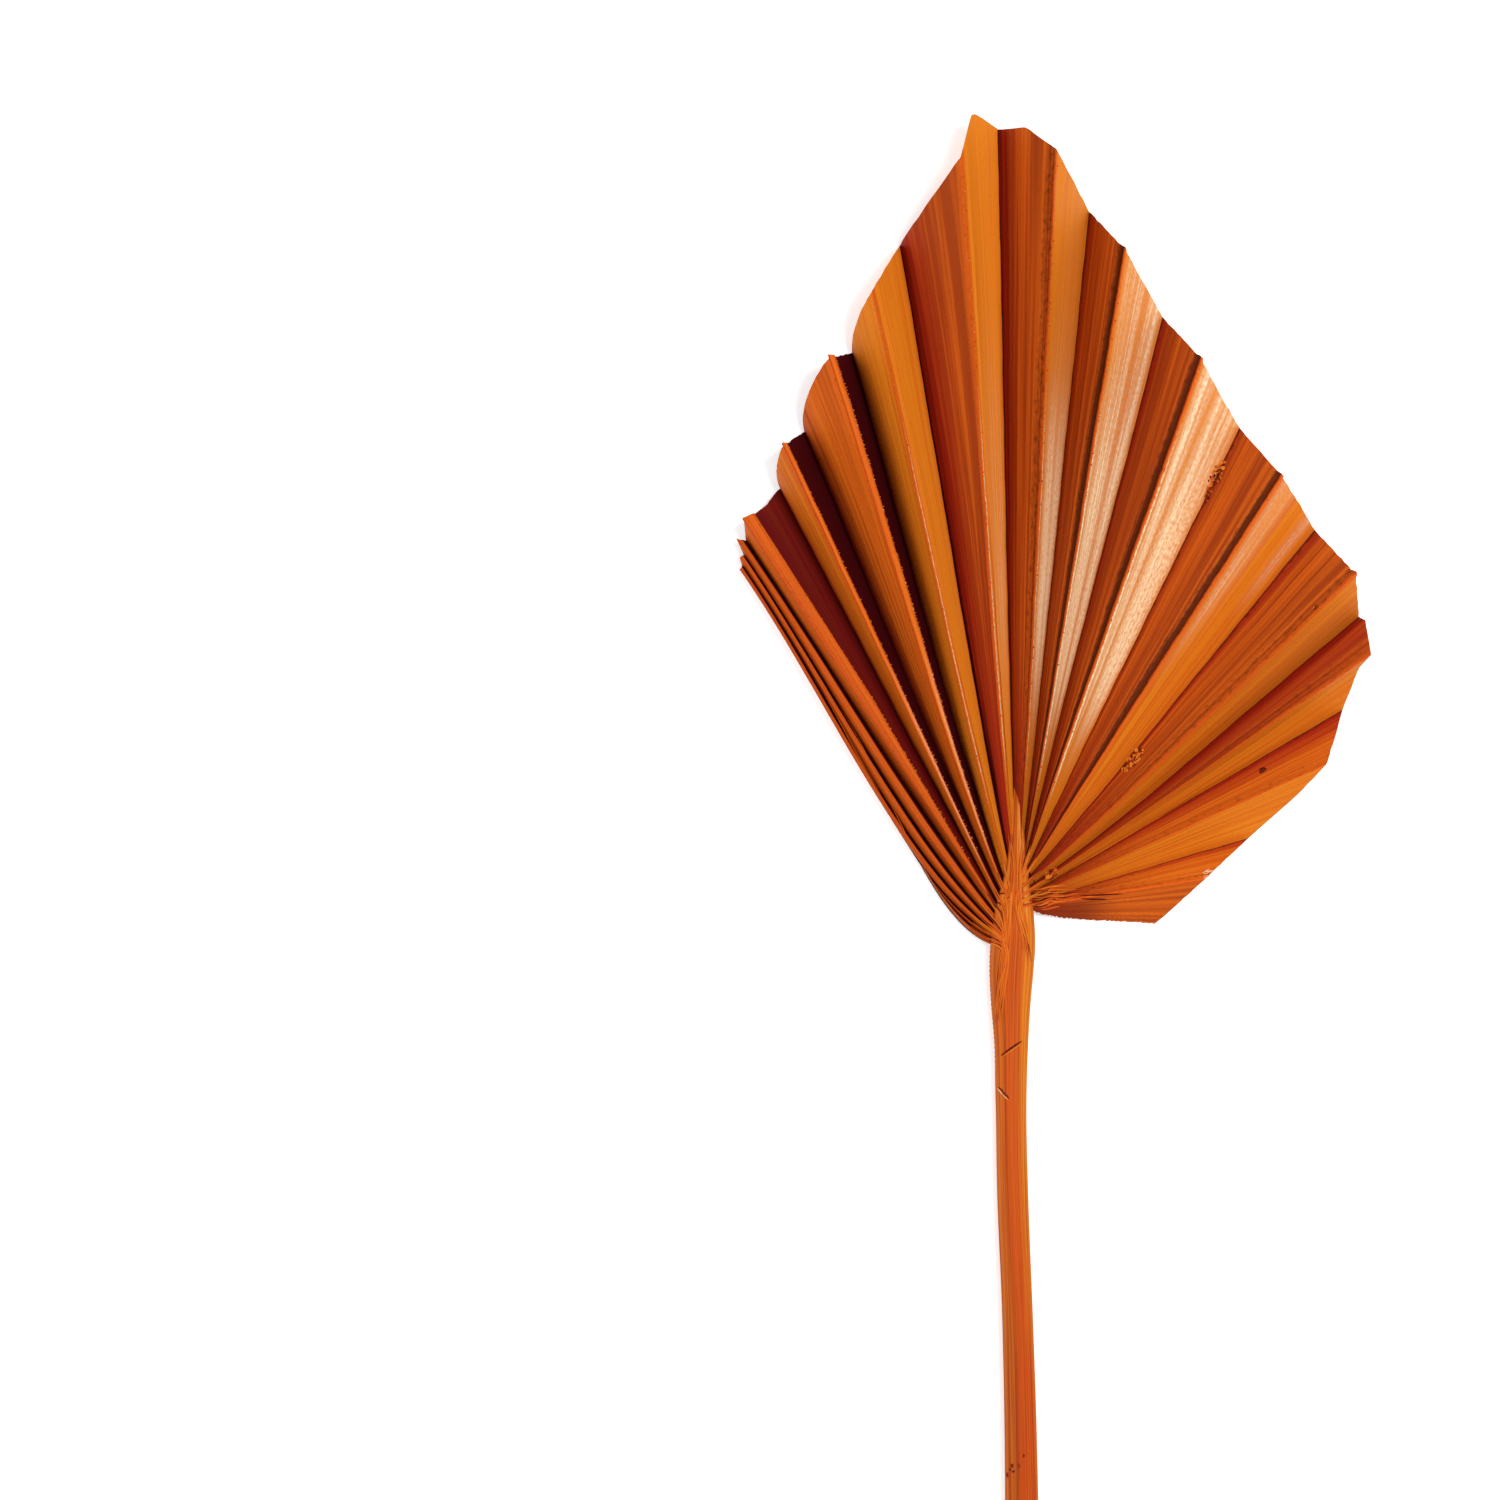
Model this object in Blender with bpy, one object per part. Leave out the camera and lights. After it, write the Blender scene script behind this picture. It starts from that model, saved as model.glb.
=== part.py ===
"""Dried fan palm leaf, dyed orange and cut to a pointed spear.

One solid in metres: a fan of pleats that grows from the end of a long stalk. The leaf lies on its back, with X across
it, Y from the cut end of the stalk to the tip, and Z up. The hub, where the pleats meet the stalk, is the zero point
while the shapes are drawn. At the end the leaf is moved so that zero is the middle of its footprint.
"""

from collections import namedtuple
import math

import bmesh
import bpy
import numpy as np

# Blade
BLADE_THICKNESS = 0.0007
STATIONS = 15
STATION_CROWDING = 1.35
ROOT_HANDLE = 0.25
ROOT_SLACK = 0.0018
SLACK_PER_LENGTH = 0.165
SLACK_LIMIT = 0.025
SHALLOWEST = 0.5
STEEPEST = 3.4
BELLY = 0.07
HUB_LEVEL = 0.0034
HUB_BLEND = 0.026

# Stalk
CUT_LENGTH = 0.254

# Each fold runs from its root on the hub to the trimmed edge. Bearings are degrees clockwise from the tip's direction,
# seen from above. Reach is the distance from the hub to the fold's end, root is where the fold leaves the hub, and
# leave is its bearing there. A corner is a point of the trimmed edge between a fold and the next one.
Fold = namedtuple("Fold", "kind bearing reach root leave corner", defaults=[None])

TIGHT_FOLDS = [
    Fold("valley", -45.3, 0.0556, (-0.0055, -0.0138), -74),
    Fold("crest", -44.5, 0.0574, (-0.0055, -0.0131), -70),
    Fold("valley", -43.4, 0.0669, (-0.0054, -0.0125), -68),
    Fold("crest", -42.3, 0.0762, (-0.0053, -0.0120), -66),
    Fold("valley", -41.7, 0.0852, (-0.0054, -0.0115), -62),
    Fold("crest", -41.1, 0.0965, (-0.0055, -0.0108), -58),
    Fold("valley", -40.5, 0.0968, (-0.0055, -0.0101), -54),
    Fold("crest", -40.0, 0.0986, (-0.0055, -0.0094), -50),
    Fold("valley", -39.4, 0.0984, (-0.0054, -0.0084), -47),
    Fold("crest", -38.8, 0.1024, (-0.0053, -0.0074), -43),
    Fold("valley", -38.0, 0.1007, (-0.0049, -0.0061), -39),
    Fold("crest", -36.7, 0.1044, (-0.0046, -0.0048), -35, (-33.3, 0.1046)),
]

OPENING_FOLDS = [
    Fold("valley", -30.6, 0.1063, (-0.0044, -0.0035), -29, (-29.8, 0.1105)),
    Fold("crest", -27.9, 0.1142, (-0.0041, -0.0025), -28, (-26.3, 0.1147)),
    Fold("valley", -24.9, 0.1151, (-0.0037, -0.0012), -26, (-23.2, 0.1219)),
    Fold("crest", -19.5, 0.1286, (-0.0030, -0.0002), -24, (-18.3, 0.1284)),
    Fold("valley", -17.0, 0.1282, (-0.0025, 0.0009), -20, (-15.9, 0.1340)),
    Fold("crest", -13.6, 0.1404, (-0.0018, 0.0021), -17, (-11.9, 0.1450)),
    Fold("valley", -10.2, 0.1496, (-0.0013, 0.0039), -12, (-8.5, 0.1546)),
    Fold("crest", -4.3, 0.1679, (-0.0005, 0.0071), -7, (-3.2, 0.1781)),
]

OPEN_FOLDS = [
    Fold("valley", -1.3, 0.1742, (0.0003, 0.0085), -3, (0.8, 0.1744)),
    Fold("crest", 3.2, 0.1693, (0.0012, 0.0080), 4, (4.7, 0.1627)),
    Fold("valley", 6.3, 0.1562, (0.0016, 0.0067), 7, (8.0, 0.1521)),
    Fold("crest", 9.8, 0.1482, (0.0020, 0.0055), 10, (12.1, 0.1416)),
    Fold("valley", 14.6, 0.1352, (0.0021, 0.0046), 13, (16.9, 0.1318)),
    Fold("crest", 19.5, 0.1283, (0.0022, 0.0039), 18, (22.6, 0.1226)),
    Fold("valley", 26.2, 0.1174, (0.0024, 0.0030), 24, (29.7, 0.1147)),
    Fold("crest", 33.1, 0.1123, (0.0025, 0.0021), 32, (36.6, 0.1097)),
    Fold("valley", 40.2, 0.1072, (0.0026, 0.0012), 39, (43.9, 0.1064)),
    Fold("crest", 47.6, 0.1061, (0.0028, 0.0002), 46),
    Fold("valley", 52.1, 0.1006, (0.0029, -0.0005), 51, (52.9, 0.1012)),
    Fold("crest", 57.1, 0.0975, (0.0031, -0.0013), 56, (57.8, 0.0935)),
    Fold("valley", 61.9, 0.0858, (0.0033, -0.0021), 60, (65.2, 0.0813)),
    Fold("crest", 68.8, 0.0770, (0.0035, -0.0029), 66, (72.1, 0.0689)),
    Fold("valley", 78.7, 0.0551, (0.0037, -0.0037), 76, (82.8, 0.0494)),
    Fold("crest", 87.9, 0.0442, (0.0039, -0.0046), 82, (95.5, 0.0386)),
    Fold("valley", 105.5, 0.0336, (0.0041, -0.0060), 97),
]

FOLDS = TIGHT_FOLDS + OPENING_FOLDS + OPEN_FOLDS

# Cross sections of the stalk from its cut end to the tongue that runs into the middle pleats: the distance along the
# leaf, the left and right edges, and the height.
STALK_SECTIONS = [
    (-CUT_LENGTH, -0.0012, 0.0072, 0.0066),
    (-0.2200, -0.0016, 0.0067, 0.0064),
    (-0.1800, -0.0020, 0.0061, 0.0062),
    (-0.1415, -0.0023, 0.0055, 0.0060),
    (-0.1208, -0.0025, 0.0050, 0.0059),
    (-0.0955, -0.0031, 0.0041, 0.0058),
    (-0.0720, -0.0041, 0.0032, 0.0057),
    (-0.0495, -0.0045, 0.0028, 0.0057),
    (-0.0360, -0.0049, 0.0032, 0.0058),
    (-0.0265, -0.0057, 0.0038, 0.0060),
    (-0.0200, -0.0060, 0.0044, 0.0062),
    (-0.0140, -0.0058, 0.0048, 0.0063),
    (-0.0085, -0.0051, 0.0046, 0.0063),
    (-0.0040, -0.0043, 0.0041, 0.0061),
    (0.0005, -0.0032, 0.0034, 0.0056),
    (0.0050, -0.0019, 0.0029, 0.0051),
    (0.0095, -0.0008, 0.0023, 0.0045),
    (0.0130, 0.0001, 0.0016, 0.0039),
]

# Half widths and heights round one cross section, as shares of its own half width and height. The underside has a
# flat strip, and the top has a rim and a groove along its left side.
STALK_PROFILE = [
    (-0.36, 0.00),
    (0.36, 0.00),
    (0.76, 0.13),
    (0.96, 0.42),
    (1.00, 0.70),
    (0.92, 0.88),
    (0.66, 0.96),
    (0.30, 1.00),
    (-0.12, 0.98),
    (-0.46, 0.93),
    (-0.58, 0.84),
    (-0.72, 0.90),
    (-0.92, 0.84),
    (-1.00, 0.66),
    (-0.96, 0.40),
    (-0.76, 0.13),
]


def direction(bearing):
    """Unit vector of a bearing, seen from above."""
    angle = math.radians(bearing)
    return np.array([math.sin(angle), math.cos(angle)])


def fold_course(fold):
    """Points of a fold from above: a curve that leaves its root along its own bearing and runs straight to its end."""
    tip = fold.reach * direction(fold.bearing)
    root = np.array(fold.root)
    handle = root + direction(fold.leave) * ROOT_HANDLE * np.linalg.norm(tip - root)
    far = tip + (root - tip) / 3
    t = np.linspace(0, 1, STATIONS)[:, None] ** STATION_CROWDING
    return (1 - t) ** 3 * root + 3 * (1 - t) ** 2 * t * handle + 3 * (1 - t) * t ** 2 * far + t ** 3 * tip


def distance_to_course(points, course):
    """Distance from each point to another fold, which is carried on straight past its end."""
    beyond = course[-1] + (course[-1] - course[-2]) * 3
    starts = course
    steps = np.vstack([course[1:], beyond]) - starts
    nearest = np.full(len(points), np.inf)
    for start, step in zip(starts, steps):
        along = np.clip((points - start) @ step / (step @ step), 0, 1)
        gap = np.linalg.norm(points - start - along[:, None] * step, axis=1)
        nearest = np.minimum(nearest, gap)
    return nearest


def run_along(course):
    """Length of a fold from its root to each of its points."""
    steps = np.linalg.norm(np.diff(course, axis=0), axis=1)
    return np.concatenate([[0], np.cumsum(steps)])


def pleat_depth(course, neighbour):
    """How far a crest stands over a valley, from the width that the blade has between them when it is spread flat."""
    spread = ROOT_SLACK + SLACK_LIMIT * np.tanh(SLACK_PER_LENGTH * run_along(course) / SLACK_LIMIT)
    gap = distance_to_course(course, neighbour)
    depth = np.sqrt(np.maximum(spread ** 2 - gap ** 2, (SHALLOWEST * spread) ** 2))
    return np.minimum(depth, STEEPEST * gap), gap


def smooth_rise(share):
    """Rise from 0 to 1 with level ends."""
    share = np.clip(share, 0, 1)
    return share * share * (3 - 2 * share)


def fold_heights(courses):
    """Height of the top face and the upright thickness of the blade along every fold."""
    count = len(courses)
    depths, drops = [], []
    for index, course in enumerate(courses):
        sides = [pleat_depth(course, courses[other]) for other in (index - 1, index + 1) if 0 <= other < count]
        slopes = [depth / gap for depth, gap in sides]
        depths.append(np.mean([depth for depth, gap in sides], axis=0))
        drops.append(BLADE_THICKNESS * np.sqrt(1 + np.max(slopes, axis=0) ** 2))
    heights = []
    for index, fold in enumerate(FOLDS):
        level = drops[index]
        if fold.kind == "crest":
            level = (drops[index - 1] + drops[index + 1]) / 2 + depths[index]
        away = smooth_rise(run_along(courses[index]) / HUB_BLEND)
        crest_rise = depths[index] if fold.kind == "crest" else 0
        at_hub = HUB_LEVEL + crest_rise / 2 - (0 if fold.kind == "crest" else depths[index] / 2)
        heights.append(np.maximum(at_hub * (1 - away) + level * away, drops[index]))
    return heights, drops


def leaf_columns():
    """Columns of points across the fan: every fold, with one more column in each pleat that isn't tight."""
    courses = [fold_course(fold) for fold in FOLDS]
    heights, drops = fold_heights(courses)
    columns = []
    for index, fold in enumerate(FOLDS):
        columns.append((courses[index], heights[index], drops[index]))
        if fold.corner is None:
            continue
        middle = (courses[index] + courses[index + 1]) / 2
        growth = np.linspace(0, 1, STATIONS)[:, None] ** 3
        bearing, reach = fold.corner
        middle = middle + growth * (reach * direction(bearing) - middle[-1])
        width = np.linalg.norm(courses[index + 1] - courses[index], axis=1)
        away = smooth_rise(run_along(middle) / HUB_BLEND)
        height = (heights[index] + heights[index + 1]) / 2 + BELLY * width * away
        drop = (drops[index] + drops[index + 1]) / 2
        columns.append((middle, height, drop))
    return columns


def new_object(name, mesh, material):
    """Object with one material, linked to the scene."""
    mesh.materials.append(material)
    leaf = bpy.data.objects.new(name, mesh)
    bpy.context.scene.collection.objects.link(leaf)
    return leaf


def mesh_from(name, bm):
    """Mesh with its faces pointing out."""
    bmesh.ops.recalc_face_normals(bm, faces=bm.faces)
    mesh = bpy.data.meshes.new(name)
    bm.to_mesh(mesh)
    bm.free()
    return mesh


def blade_mesh():
    """Pleated blade: a top sheet and the same sheet lowered, closed round the edge. Both are split alike."""
    bm = bmesh.new()
    top, under = [], []
    for points, heights, drops in leaf_columns():
        top.append([bm.verts.new((x, y, z)) for (x, y), z in zip(points, heights)])
        under.append([bm.verts.new((x, y, z - drop)) for (x, y), z, drop in zip(points, heights, drops)])
    last = STATIONS - 1
    for left in range(len(top) - 1):
        right = left + 1
        for near in range(last):
            far = near + 1
            for sheet in (top, under):
                corners = sheet[left][near], sheet[right][near], sheet[right][far], sheet[left][far]
                bm.faces.new((corners[0], corners[1], corners[2]))
                bm.faces.new((corners[0], corners[2], corners[3]))
        for end in (0, last):
            bm.faces.new((top[left][end], top[right][end], under[right][end]))
            bm.faces.new((top[left][end], under[right][end], under[left][end]))
    for side in (0, len(top) - 1):
        for near in range(last):
            far = near + 1
            bm.faces.new((top[side][near], top[side][far], under[side][far]))
            bm.faces.new((top[side][near], under[side][far], under[side][near]))
    return mesh_from("blade", bm)


def stalk_mesh():
    """Stalk: loops of the profile joined from the cut end to the tongue, with flat caps."""
    bm = bmesh.new()
    loops = []
    for along, left, right, height in STALK_SECTIONS:
        middle, half = (left + right) / 2, (right - left) / 2
        loops.append([bm.verts.new((middle + half * u, along, height * v)) for u, v in STALK_PROFILE])
    for near, far in zip(loops, loops[1:]):
        for corner in range(len(near)):
            after = (corner + 1) % len(near)
            bm.faces.new((near[corner], near[after], far[after], far[corner]))
    bm.faces.new(loops[0])
    bm.faces.new(loops[-1])
    return mesh_from("stalk", bm)


def join_by_union(name, parts):
    """One solid from several that cross. The parts are removed once they are joined."""
    group = bpy.data.collections.new("joined parts")
    bpy.context.scene.collection.children.link(group)
    for part in parts[1:]:
        bpy.context.scene.collection.objects.unlink(part)
        group.objects.link(part)
    union = parts[0].modifiers.new("union", "BOOLEAN")
    union.operation = "UNION"
    union.operand_type = "COLLECTION"
    union.collection = group
    union.solver = "MANIFOLD"
    evaluated = parts[0].evaluated_get(bpy.context.evaluated_depsgraph_get())
    mesh = bpy.data.meshes.new_from_object(evaluated)
    material = parts[0].data.materials[0]
    for part in parts:
        bpy.data.objects.remove(part)
    bpy.data.collections.remove(group)
    mesh.name = name
    mesh.materials.clear()
    return new_object(name, mesh, material)


def dyed_leaf():
    """Dry leaf dyed orange, with a slight gloss."""
    material = bpy.data.materials.new("dyed leaf")
    material.use_nodes = True
    shader = material.node_tree.nodes["Principled BSDF"]
    shader.inputs["Base Color"].default_value = (0.62, 0.16, 0.02, 1)
    shader.inputs["Roughness"].default_value = 0.45
    shader.inputs["Metallic"].default_value = 0
    return material


def centre_footprint(leaf):
    """Move the mesh so that zero is the middle of its footprint, at its lowest point."""
    points = np.array([vertex.co for vertex in leaf.data.vertices])
    low, high = points.min(axis=0), points.max(axis=0)
    shift = (low + high) / 2
    shift[2] = low[2]
    for vertex in leaf.data.vertices:
        vertex.co = vertex.co - type(vertex.co)(shift)


def clear_scene():
    """Remove what the scene holds."""
    for item in list(bpy.data.objects):
        bpy.data.objects.remove(item)


def build_leaf():
    """The whole leaf."""
    clear_scene()
    material = dyed_leaf()
    blade = new_object("blade", blade_mesh(), material)
    stalk = new_object("stalk", stalk_mesh(), material)
    bpy.context.view_layer.update()
    leaf = join_by_union("fan_palm_leaf", [blade, stalk])
    centre_footprint(leaf)
    leaf.data.shade_smooth()
    leaf.data.set_sharp_from_angle(angle=math.radians(28))


build_leaf()
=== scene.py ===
from collections import namedtuple
import math

import bmesh
import bpy
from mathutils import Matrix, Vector
from mathutils.bvhtree import BVHTree
import numpy as np


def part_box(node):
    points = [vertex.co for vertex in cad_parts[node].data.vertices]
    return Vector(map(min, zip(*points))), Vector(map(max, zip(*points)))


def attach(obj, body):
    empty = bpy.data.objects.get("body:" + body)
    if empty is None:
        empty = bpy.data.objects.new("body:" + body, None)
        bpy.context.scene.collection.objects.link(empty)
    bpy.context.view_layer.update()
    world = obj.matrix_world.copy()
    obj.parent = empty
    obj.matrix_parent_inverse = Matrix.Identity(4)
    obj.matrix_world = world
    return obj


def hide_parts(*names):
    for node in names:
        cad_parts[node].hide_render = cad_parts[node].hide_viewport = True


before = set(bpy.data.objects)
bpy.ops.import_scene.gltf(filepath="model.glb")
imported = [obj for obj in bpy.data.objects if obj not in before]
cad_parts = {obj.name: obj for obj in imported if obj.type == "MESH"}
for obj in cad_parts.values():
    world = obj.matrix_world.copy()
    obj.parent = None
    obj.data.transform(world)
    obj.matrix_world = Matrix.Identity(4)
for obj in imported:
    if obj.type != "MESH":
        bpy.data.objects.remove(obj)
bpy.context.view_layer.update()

# The dried leaf lies on its back, and the camera looks straight down on it. Sizes are metres. Plan
# places are measured from the hub, where the pleats meet the stalk, with X to the right and Y to the
# leaf's tip.

NODE = "fan_palm_leaf"

# Places that tie the drawing to the frame
RIGHT_REACH = 0.08186
TIP_REACH = 0.17782
BOX_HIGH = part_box(NODE)[1]
HUB = np.array([BOX_HIGH[0] - RIGHT_REACH, BOX_HIGH[1] - TIP_REACH])

# Photograph: the size of one of its pixels on the leaf, and where the hub is in it
PIXEL = 0.00023
PHOTO_SIDE = 1500
HUB_PIXEL = (1015, 885)
CAMERA_HEIGHT = 5.0
LEAF_LEVEL = 0.008

# Blade
BLADE_THICKNESS = 0.00045
ROWS = 72
TIGHT_COLUMNS = 4
WIDE_COLUMNS = 10
WIDE_FROM = 0.004
ROOT_HANDLE = 0.25
ROOT_TUCK = 0.0013
ROOT_SLACK = 0.0018
SLACK_PER_LENGTH = 0.165
SLACK_LIMIT = 0.025
SHALLOWEST = 0.5
STEEPEST = 3.4
BELLY = 0.03
HUB_LEVEL = 0.0034
HUB_BLEND = 0.026
RIB_WIDTH = 0.0010
RIB_RISE = 0.00016
GROOVE_WIDTH = 0.0023
GROOVE_DEPTH = 0.0008
BRIM_EDGE = 0.00018
LIP_FALL = 0.6
FOLD_WAVER = 0.00004
TORN_WAVER = 0.00018
VEIN_RISE = 0.00004
TRIM_JITTER = 0.00025
EAR = 0.0008
EAR_SLOPE = 0.7
EAR_FALL_LIMIT = 0.1
ROLLED_END = 0.00045
ROLLED_WIDTH = 0.0006
BRIM_LIP_PAINT = 0.25
ROW_CROWDING = 1.15
CORNER_GROWTH = 3
CARRIED_ON = 20
WAVE_LENGTHS = (0.045, 0.019, 0.008)
WAVE_TURN = 6.28
WAVER_GROWTH = 0.02
SPARE_GAP = 0.004
FIXED_END = 0.01
TORN_GROWTH = 0.004
FULL_RIB_FROM = 0.003
RIB_LIMIT = 0.3
BRIM_LIMIT = 0.42
TIGHT_BRIM_LIMIT = 0.75
BLADE_SHARP_ANGLE = 32
TOP_CLEARANCE = 0.0001
LEAST_HEIGHT = 0.9
CENTIMETRES = 100

# Each fold runs from its root on the hub to the trimmed edge. Bearings are degrees clockwise from the
# tip's direction, seen from above. Reach is the distance from the hub to the fold's end, root is where
# the fold leaves the hub, and leave is its bearing there. A corner is a point of the trimmed edge
# between a fold and the next one, as its bearing and reach, and rounded says that the edge is round
# there. A crest with a brim is folded flat that far before its right face drops away. A valley with a
# gutter hides under the face on its left, and is painted with shade for the gutter's width on its right.
Fold = namedtuple("Fold", "kind bearing reach root leave corner rounded brim gutter",
                  defaults=[None, False, 0.0, 0.0])

TIGHT_FOLDS = [
    Fold("valley", -45.3, 0.0556, (-0.0055, -0.0138), -74),
    Fold("crest", -44.5, 0.0574, (-0.0055, -0.0131), -70, brim=0.0014),
    Fold("valley", -43.4, 0.0669, (-0.0054, -0.0125), -68),
    Fold("crest", -42.3, 0.0762, (-0.0053, -0.0120), -66, brim=0.0014),
    Fold("valley", -41.7, 0.0852, (-0.0054, -0.0115), -62),
    Fold("crest", -41.1, 0.0965, (-0.0055, -0.0108), -58, brim=0.0014),
    Fold("valley", -40.5, 0.0968, (-0.0055, -0.0101), -54),
    Fold("crest", -40.0, 0.0986, (-0.0055, -0.0094), -50, brim=0.0014),
    Fold("valley", -39.4, 0.0984, (-0.0054, -0.0084), -47),
    Fold("crest", -38.8, 0.1024, (-0.0053, -0.0074), -43, brim=0.0014),
    Fold("valley", -38.0, 0.1007, (-0.0049, -0.0061), -39),
    Fold("crest", -36.7, 0.1044, (-0.0046, -0.0048), -35, (-33.3, 0.1046), brim=0.0027),
]

OPENING_FOLDS = [
    Fold("valley", -30.6, 0.1063, (-0.0044, -0.0035), -29, (-29.8, 0.1105), True),
    Fold("crest", -27.9, 0.1142, (-0.0041, -0.0025), -28, (-26.3, 0.1147), brim=0.0011),
    Fold("valley", -24.9, 0.1151, (-0.0037, -0.0012), -26, (-23.2, 0.1219), True),
    Fold("crest", -19.5, 0.1286, (-0.0030, -0.0002), -24, (-18.3, 0.1284), brim=0.0016),
    Fold("valley", -17.0, 0.1282, (-0.0025, 0.0009), -20, (-15.9, 0.1340), True),
    Fold("crest", -13.6, 0.1404, (-0.0018, 0.0021), -17, (-11.9, 0.1450)),
    Fold("valley", -10.2, 0.1496, (-0.0013, 0.0039), -12, (-8.5, 0.1546), True, gutter=0.0013),
    Fold("crest", -4.3, 0.1679, (-0.0005, 0.0071), -7, (-3.2, 0.1781)),
]

OPEN_FOLDS = [
    Fold("valley", -1.3, 0.1742, (0.0003, 0.0085), -3, (0.8, 0.1744), gutter=0.0004),
    Fold("crest", 3.2, 0.1693, (0.0012, 0.0080), 4, (4.7, 0.1627)),
    Fold("valley", 6.3, 0.1562, (0.0016, 0.0067), 7, (8.0, 0.1521)),
    Fold("crest", 9.8, 0.1482, (0.0020, 0.0055), 10, (12.1, 0.1416)),
    Fold("valley", 14.6, 0.1352, (0.0021, 0.0046), 13, (16.9, 0.1318)),
    Fold("crest", 19.5, 0.1283, (0.0022, 0.0039), 18, (22.6, 0.1226)),
    Fold("valley", 26.2, 0.1174, (0.0024, 0.0030), 24, (29.7, 0.1147)),
    Fold("crest", 33.1, 0.1123, (0.0025, 0.0021), 32, (36.6, 0.1097)),
    Fold("valley", 40.2, 0.1072, (0.0026, 0.0012), 42, (43.9, 0.1064)),
    Fold("crest", 47.6, 0.1061, (0.0028, 0.0002), 50, (50.0, 0.1030)),
    Fold("valley", 52.1, 0.1006, (0.0029, -0.0005), 58, (52.9, 0.1012)),
    Fold("crest", 57.1, 0.0975, (0.0031, -0.0013), 56, (57.8, 0.0935)),
    Fold("valley", 61.9, 0.0858, (0.0033, -0.0021), 60, (65.2, 0.0813)),
    Fold("crest", 68.8, 0.0770, (0.0035, -0.0029), 66, (72.1, 0.0689)),
    Fold("valley", 78.7, 0.0551, (0.0037, -0.0037), 76, (82.8, 0.0494)),
    Fold("crest", 87.9, 0.0442, (0.0039, -0.0046), 82, (95.5, 0.0386)),
    Fold("valley", 105.5, 0.0336, (0.0041, -0.0060), 117),
]

FOLDS = TIGHT_FOLDS + OPENING_FOLDS + OPEN_FOLDS

# Groups of crests, by the two bearings that they lie between
WHOLE_FAN = (-50, 90)
PRESSED = (-50, -30)
WIDE_BRIMS = (-37, -15)
LEFT_HALF = (-50, 0)
GRAINED = (-20, 25)
MIDDLE = (-15, 25)
RED_AT_HUB = (-10, 90)
RIGHT_HALF = (0, 90)
# The right faces of the crests in the next three groups carry painted sheen, pale paint for reflected light
BROAD_SHEEN_CRESTS = (0, 25)
FIRST_SHEENED_CRESTS = (6, 15)
SHEENED_CRESTS = (6, 25)
ROLLED = (6, 50)
BANDED = (30, 40)
WING = (60, 90)
LAST = (80, 90)

# Colour round the fan: a crest's bearing, then a value for a face beside that crest. Warmth runs from 0
# for rusty to 1 for golden. It holds the dye's own colour, and the two faces of a crest differ by painted
# light and shade, warmer where a face turns to the light. The crimson is painted shade, and its share is
# that of the face's width, from the valley up.
LEFT_FACE_WARMTH = [(-45, 0.3), (-37, 0.4), (-28, 0.65), (-19, 0.45), (-13, 1.0), (-4, 0.05), (3, 0.2),
                    (10, 0.2), (20, 0.08), (33, 0.2), (48, 0.2), (57, 0.15), (69, 0.5), (88, 0.55)]
RIGHT_FACE_WARMTH = [(-45, 0.2), (-36, 0.3), (-28, 0.5), (-19, 0.6), (-13, 1.0), (20, 1.0), (33, 0.75),
                     (48, 0.8), (57, 0.85), (69, 0.8), (88, 0.3)]
CRIMSON_SHARE = [(-28, 0.3), (-19, 0.5), (-14, 0.3), (-4, 0.8), (3, 0.4), (10, 0.15), (20, 0.2), (33, 0.12),
                 (48, 0.2), (57, 1.3), (69, 0.7), (88, 0.35)]

# How far from the hub the left faces are painted crimson right across, as shade, and how strong the
# painted sheen of the right faces is: pale paint for the light that they reflect
HUB_CRIMSON = [(-14, 0.02), (-4, 0.085), (3, 0.055), (10, 0.045), (20, 0.045), (88, 0.035)]
SHEEN_PAINT = [(-14, 0.0), (-4, 0.4), (3, 1.5), (10, 2.0), (20, 1.3), (33, 0.65), (44, 0.1), (50, 0.0)]

# Where an orange line breaks the painted sheen along a right face, as a share of its width
SHEEN_GAP_LINES = [(10, 0.62), (20, 0.38)]
SHEEN_GAP_WIDTH = 0.08
SHEEN_GAP_STRENGTH = 0.85

# How deep the groove on the left of a crest is, and how strongly the rib's shadow is painted into it
GROOVES = [(0, 0.0), (3, 0.4), (9, 1.0), (34, 1.0), (47, 0.2), (57, 0.1)]

# Fades of the paint, each by its start and its length, which is negative where the fade runs the other
# way. Those along a run are metres from the hub, and those across a face are shares of its width. Bands
# have a middle and a width.
# Painted sheen: pale paint on the right faces that turn to the light
SHEEN_PAINT_RUN = (0.02, 0.045)
LATE_SHEEN_PAINT_RUN = (0.05, 0.045)
SHEEN_PAINT_END = (0.82, 0.15)
NEAR_BAND = (0.2, 0.13)
FAR_BAND = (0.8, 0.08)
FAR_BAND_STRENGTH = 0.6
FAR_BAND_RUN = (0.075, 0.02)
DIM_SHEEN_PAINT_FACE = (0, 0.7)
DIM_SHEEN_PAINT_RUN = (0.05, 0.085)
DIM_SHEEN_PAINT_LOSS = 0.95
TIP_RUN = (0.08, 0.05)
TIP_FACE = (0.9, -0.4)
TIP_LOSS = 0.7
SHEEN_PAINT_FACE = (0.03, 0.13)
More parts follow.
